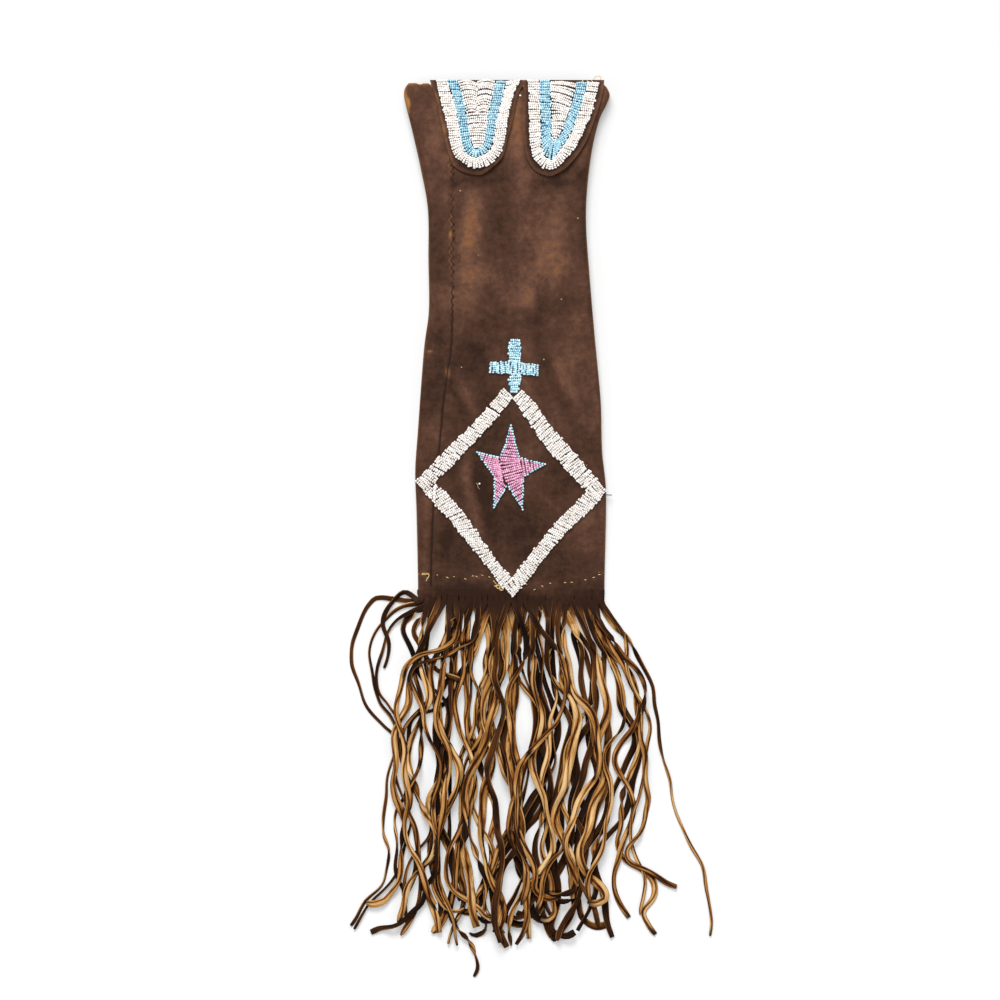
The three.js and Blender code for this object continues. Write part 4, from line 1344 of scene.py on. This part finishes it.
def cellsAt(places, near=0):  # cells of the height map
    cells = np.round((places - np.array(fringe["corner"])) / fringe["cell"]).astype(int)
    cells = np.clip(cells + near, 0, fringe["cells"] - 1)
    return cells[..., 0], cells[..., 1]


def softened(values, width):  # rounded off along a thong, never below what lies under it
    tall = np.max([np.roll(np.pad(values, width, "edge"), k) for k in range(-width, width + 1)], axis=0)
    kernel = np.hanning(2 * width + 3)[1:-1]
    return np.convolve(tall, kernel / kernel.sum(), "same")[width:-width]


def kinked(line, seed):  # small bends that a thong keeps from being wet and dried
    run = lengthsAlong(line)
    ahead = headings(line)
    sway = np.zeros(len(run))
    for amount, shortest in fringe["kinks"]:
        sway += amount * swing(run / (shortest * (1 + 0.5 * luck.random())) + luck.random())
    shortest, longer = fringe["swayLength"]
    sway += fringe["sway"] * swing(run / (shortest + longer * scatter(seed + 8)) + scatter(seed + 9))
    sway *= ease(run, *fringe["kinksGrow"])
    return line + sway[:, None] * np.column_stack([-ahead[:, 1], ahead[:, 0]])


def thongTurn(panel, place, run, slit, rolled):  # how a thong turns over along its length, in degrees
    loop = place in panel["loops"]
    share = np.interp(place, np.linspace(0, fringe["count"] - 1, 6), panel["paleShare"])
    pale = luck.random() < share and not loop
    pale = panel["pale"].get(place, pale)
    start = 180 if loop else panel["startTurn"]
    end = (0 if pale else 180) + luck.normal(0, fringe["turnSpread"])
    first = slit + drawn("turnFrom")
    turn = start + (end - start) * ease(run, first, first + drawn("turnLength"))
    turn += fringe["rock"] * rolled * swing(run / drawn("rockLength") + luck.random())
    tilt = eitherWay(place * 2.3 + panel["seed"], fringe["tilt"])
    turn += tilt * ease(run, slit + 1, slit + 14) * (1 - ease(run, first, first + 20))
    if place in panel["darkEnds"]:
        at = panel["darkEnds"][place] * run[-1]
        turn += 180 * ease(run, at, at + 30)
    for _ in range(luck.integers(0, 2)):  # a full roll here and there
        at = 60 + (run[-1] - 70) * luck.random()
        turn += 360 * ease(run, at, at + drawn("rollLength"))
    return turn


def thongBreadth(panel, place, run, parting, rolled):  # half the width and half the thickness
    fine = place in panel["loops"] or place == fringe["count"] - 1
    slim = drawn("fine" if fine else "coarse")
    if place in panel["strays"]:
        slim = min(slim, fringe["widestStray"])
    swell = np.ones(len(run))
    for amount, shortest, longer in fringe["swells"]:
        swell += amount * np.sin(run / (shortest + longer * luck.random()) + 6 * luck.random())
    parted = ease(run, parting, parting + 5)
    gap = fringe["rootGap"] / 2 * parted - panel["spare"] * (1 - parted)
    narrow = ease(run, parting + 22, parting + 90)
    halfWidth = (thongPitch / 2 - gap) * (1 - narrow) + slim * swell * narrow
    kept = fringe["blunt" if luck.random() < fringe["bluntShare"] else "pointed"]
    end = kept + (1 - kept) * np.sqrt(np.clip((run[-1] - run) / fringe["tip"], 0, 1))
    return halfWidth * end, fringe["thickness"] / 2 * (1 + 0.25 * rolled) * end


def laidDown(panel, line, run, slit, stand):  # height of a thong's underside; the next ones lie on it
    cells = cellsAt(line[:, None], nearCells)
    under = heightMap[cells]
    settled = ease(run - slit, *fringe["settles"])
    foot = panel["foot"] * (1 - settled) + softened(under.max(1), fringe["soften"]) * settled
    foot = np.maximum(foot, under.min(1) * ease(run, slit, slit + 12))
    top = foot + 2 * stand * fringe["pressed"]
    np.maximum.at(heightMap, cells, np.repeat(top[:, None], len(nearCells), 1))
    return foot


def makeThong(panel, place):
    route = spaced(curve(thongRoute(panel, place), 500), 1.0)
    line = spaced(kinked(route, thongSeed(panel, place)), 1.0)
    run = lengthsAlong(line)
    total = run[-1]
    shortest, deeper = fringe["slit"]
    slit = shortest + deeper * scatter(place * 1.7 + panel["seed"])
    parting = slit + (0 if place in panel["loops"] else panel["late"])
    rolled = ease(run, parting + 2, parting + 24)
    angle = np.radians(thongTurn(panel, place, run, slit, rolled))
    halfWidth, halfHeight = thongBreadth(panel, place, run, parting, rolled)
    stand = np.hypot(halfWidth * np.sin(angle), halfHeight * np.cos(angle))
    middle = laidDown(panel, line, run, slit, stand) + stand
    ahead = headings(line)
    fold = 90 + fringe["foldTurn"] * swing(run / drawn("foldLength") + luck.random())
    cut = 0.9 * (1 - rolled) * ease(run, slit + 2, slit + 12)
    keep = np.unique(np.append(np.arange(0, len(run), fringe["step"]), len(run) - 1))
    line, run, ahead = line[keep], run[keep], ahead[keep]
    columns = (rolled, angle, halfWidth, halfHeight, middle, fold, cut)
    rolled, angle, halfWidth, halfHeight, middle, fold, cut = [column[keep, None] for column in columns]
    hollowWidth, hollowDepth = fringe["hollow"]
    crease = bell(rolledAngles - fold, hollowWidth) * rolled
    roundX, roundZ = [side * (1 - hollowDepth * crease) for side in rolledSection.T]
    flatX, flatZ = flatSection.T
    wide = (flatX * (1 - rolled) + roundX * rolled) * halfWidth
    tall = (flatZ * (1 - rolled) + roundZ * rolled) * halfHeight
    out = wide * np.cos(angle) - tall * np.sin(angle)
    up = wide * np.sin(angle) + tall * np.cos(angle)
    x = line[:, :1] + out * ahead[:, 1:]
    y = line[:, 1:] - out * ahead[:, :1]
    shown = flatZ * (1 - rolled) * 0.35 + rolledSection[:, 1] * rolled
    sides = len(flatSection)
    along = np.repeat(run, sides)
    endLength, endStrength = fringe["burnt" if luck.random() < fringe["burntShare"] else "plain"]
    marks = {
        # face: which side shows, and where painted light falls on it; hollow: where painted shade lies in the
        # crease
        "face": np.where(cutSides, np.maximum(shown, cut), shown).ravel(),
        "hollow": crease.ravel(),
        "grain": np.column_stack([along, np.tile(np.arange(sides) / sides * 6.0, len(keep)),
                                  np.full(len(along), luck.random() * 9)]),
        "tint": np.full(len(along), np.clip(luck.normal(0.55, 0.22), 0, 1)),
        "below": ease(along, slit - 1, slit + 20),
        "end": ease(along, total - endLength, total) * endStrength,
    }
    return np.stack([x, y, middle + up], -1).reshape(-1, 3), loftFaces(len(keep), sides), marks


def layThongs(panel):  # the strays last, on top of the others
    order = sorted(range(fringe["count"]), key=lambda place: (place in panel["strays"], scatter(place * 5.1)))
    return [makeThong(panel, place) for place in order]


def addFringe(name, parts):
    points, faces = joined([part[:2] for part in parts])
    marks = {mark: np.concatenate([part[2][mark] for part in parts]) for mark in parts[0][2]}
    # painted shade, by how far a place lies under the top of the pile
    covered = heightMap[cellsAt(points[:, :2])] - points[:, 2]
    marks["deep"] = ease(covered, *fringe["deep"]) * marks["below"]
    marks["tone"] = toneAt(points[:, 0], points[:, 1])
    marks["worn"] = np.zeros(len(points))
    over = np.maximum(points[:, 2] - fringe["firm"], 0)
    points[:, 2] += fringe["give"] * (1 - np.exp(-over / fringe["give"])) - over
    points[:, 2] = np.maximum(points[:, 2], 0.02) * (1 - fringe["flatter"] * marks["below"])
    print(name, "panel cut into", len(parts), "thongs,", round(points[:, 2].max(), 1), "mm high at most")
    return addPiece(f"{name}_thongs", points, faces, finishes["thong"], "bag", "thong_hide",
                    [f"{name}_fringe"], marks, sharp=52)


laidThongs = {name: layThongs(panel) for name, panel in panels.items()}
fringePieces = {name: addFringe(name, parts) for name, parts in laidThongs.items()}


# Thread: the running stitch of the hem, its knot, the stitches of the flaps and a few loose ends
stitches = {
    "radius": 0.32,
    "fineRadius": 0.22,
    "darkRadius": 0.4,
    "long": 2.3,
    "lift": 0.35,  # the middle of a stitch, a tail or a loose end stands off the hide
    "tailLift": 0.5,
    "endLift": 0.4,
    "hem": [(418.7, 574), (437.3, 575), (447.5, 577.5), (454, 576.8), (465.5, 579), (472.8, 576),
            (476.7, 576.5), (482.3, 575.3), (489.5, 577), (526.5, 584), (534.6, 589.5), (542.3, 586.2),
            (550.2, 583.3), (565, 582.6), (571.6, 582.3), (585.3, 579.8), (593.6, 577.4), (599.3, 574.6)],
    "tails": [
        [(421.5, 574), (425, 574.6), (428.6, 574.2), (428.8, 576.5), (427, 579), (426, 581.5)],
        [(422, 573.6), (426, 573.2), (429.5, 574)],
        [(493.3, 580.5), (495, 582.5), (496.6, 584.5)],
        [(495, 586.5), (498, 584.8), (500, 587), (498, 588.5), (496.5, 586.5), (499, 585)],
        [(499, 587), (501.5, 586), (502.5, 588.5), (501, 590.5), (499.5, 588.5), (502, 587)],
        [(500.5, 589), (502.6, 590.4), (503.4, 588)],
        [(494.2, 585.5), (496.2, 587.2)],
    ],
    "overRim": [
        [(582, 81.2, 14.4), (582.4, 82, 15.1), (583, 83.4, 15.3)],
        [(586.6, 81.2, 14.4), (587, 82, 15.1), (587.6, 83.4, 15.3)],
        [(591.2, 81.2, 14.4), (591.6, 82, 15.1), (592.2, 83.4, 15.3)],
    ],
    "rimLoop": [(592.4, 84, 10), (594, 79, 9.8), (597, 77, 9.7), (600, 77.2, 9.6), (601, 79, 9.6),
                (598.6, 82, 10)],
    "edgeEnd": [(604, 494.6, 5.5), (607.5, 494.9, 5.2), (611.8, 495.1, 4.6)],
    "looseEnds": [
        [(476.2, 483), (477.6, 484.6), (478, 487), (479.6, 489.4)],
        [(599.2, 571.5), (598.8, 573.4)],
        [(585.8, 466.5), (587.2, 464.6)],
    ],
}


def tube(line, radius, sides=6):  # a thread along a line of places
    ahead = headings(line)
    side = np.cross(ahead, (0, 0, 1.0))
    side /= np.maximum(np.linalg.norm(side, axis=1), 1e-6)[:, None]
    up = np.cross(side, ahead)
    angles = np.arange(sides) * 2 * math.pi / sides
    circle = np.cos(angles)[None, :, None] * side[:, None] + np.sin(angles)[None, :, None] * up[:, None]
    taper = np.ones(len(line))
    taper[[0, -1]] = 0.45
    points = (line[:, None] + radius * taper[:, None, None] * circle).reshape(-1, 3)
    return points, loftFaces(len(line), sides)


def laidThread(points, radius, lift=0.0):  # a thread along picture points, lying on the front
    line = spaced(curve(onBag(points), 60), 0.5)
    arch = np.sin(np.linspace(0, np.pi, len(line)))
    z = frontTop(line[:, 0], line[:, 1]) + radius * 0.5 + lift * arch
    return tube(np.column_stack([line, z]), radius)


def raisedThread(points, radius):  # along picture points with their heights
    places = np.array(points)
    return tube(curve(np.column_stack([onBag(places[:, :2]), places[:, 2]]), 24), radius)


def addThread():
    radius = stitches["radius"]
    parts = []
    for k, (x, y) in enumerate(stitches["hem"]):
        half = stitches["long"] / 2 / pixel * (0.45 + 0.5 * scatter(k + 2.3))
        tilt = eitherWay(k + 9.1, 0.8)
        stitch = [(x - half, y + tilt), (x, y), (x + half, y - tilt)]
        parts.append(laidThread(stitch, radius, stitches["lift"]))
    parts += [laidThread(tail, radius, stitches["tailLift"]) for tail in stitches["tails"]]
    parts.append(raisedThread(stitches["rimLoop"], radius))
    addPiece("hem_stitches", *joined(parts), finishes["sinew"], "bag", "hide")
    parts = [raisedThread(stitch, radius) for stitch in stitches["overRim"]]
    addPiece("flap_stitches", *joined(parts), finishes["sinew"], "right_leaf", "hide")
    parts = [laidThread(end, stitches["fineRadius"], stitches["endLift"]) for end in stitches["looseEnds"]]
    addPiece("loose_ends", *joined(parts), finishes["tow"], "bag", "hide")
    edgeEnd = raisedThread(stitches["edgeEnd"], stitches["darkRadius"])
    addPiece("edge_thread", *edgeEnd, finishes["dark"], "bag", "hide")


addThread()
print("thread sewn")

# The hide that the pouch and its thongs are cut from
levels = np.arange(pouch["slits"], rimY)
area = 2 * np.sum(rightEdge(levels) - leftEdge(levels)) * mm * mm
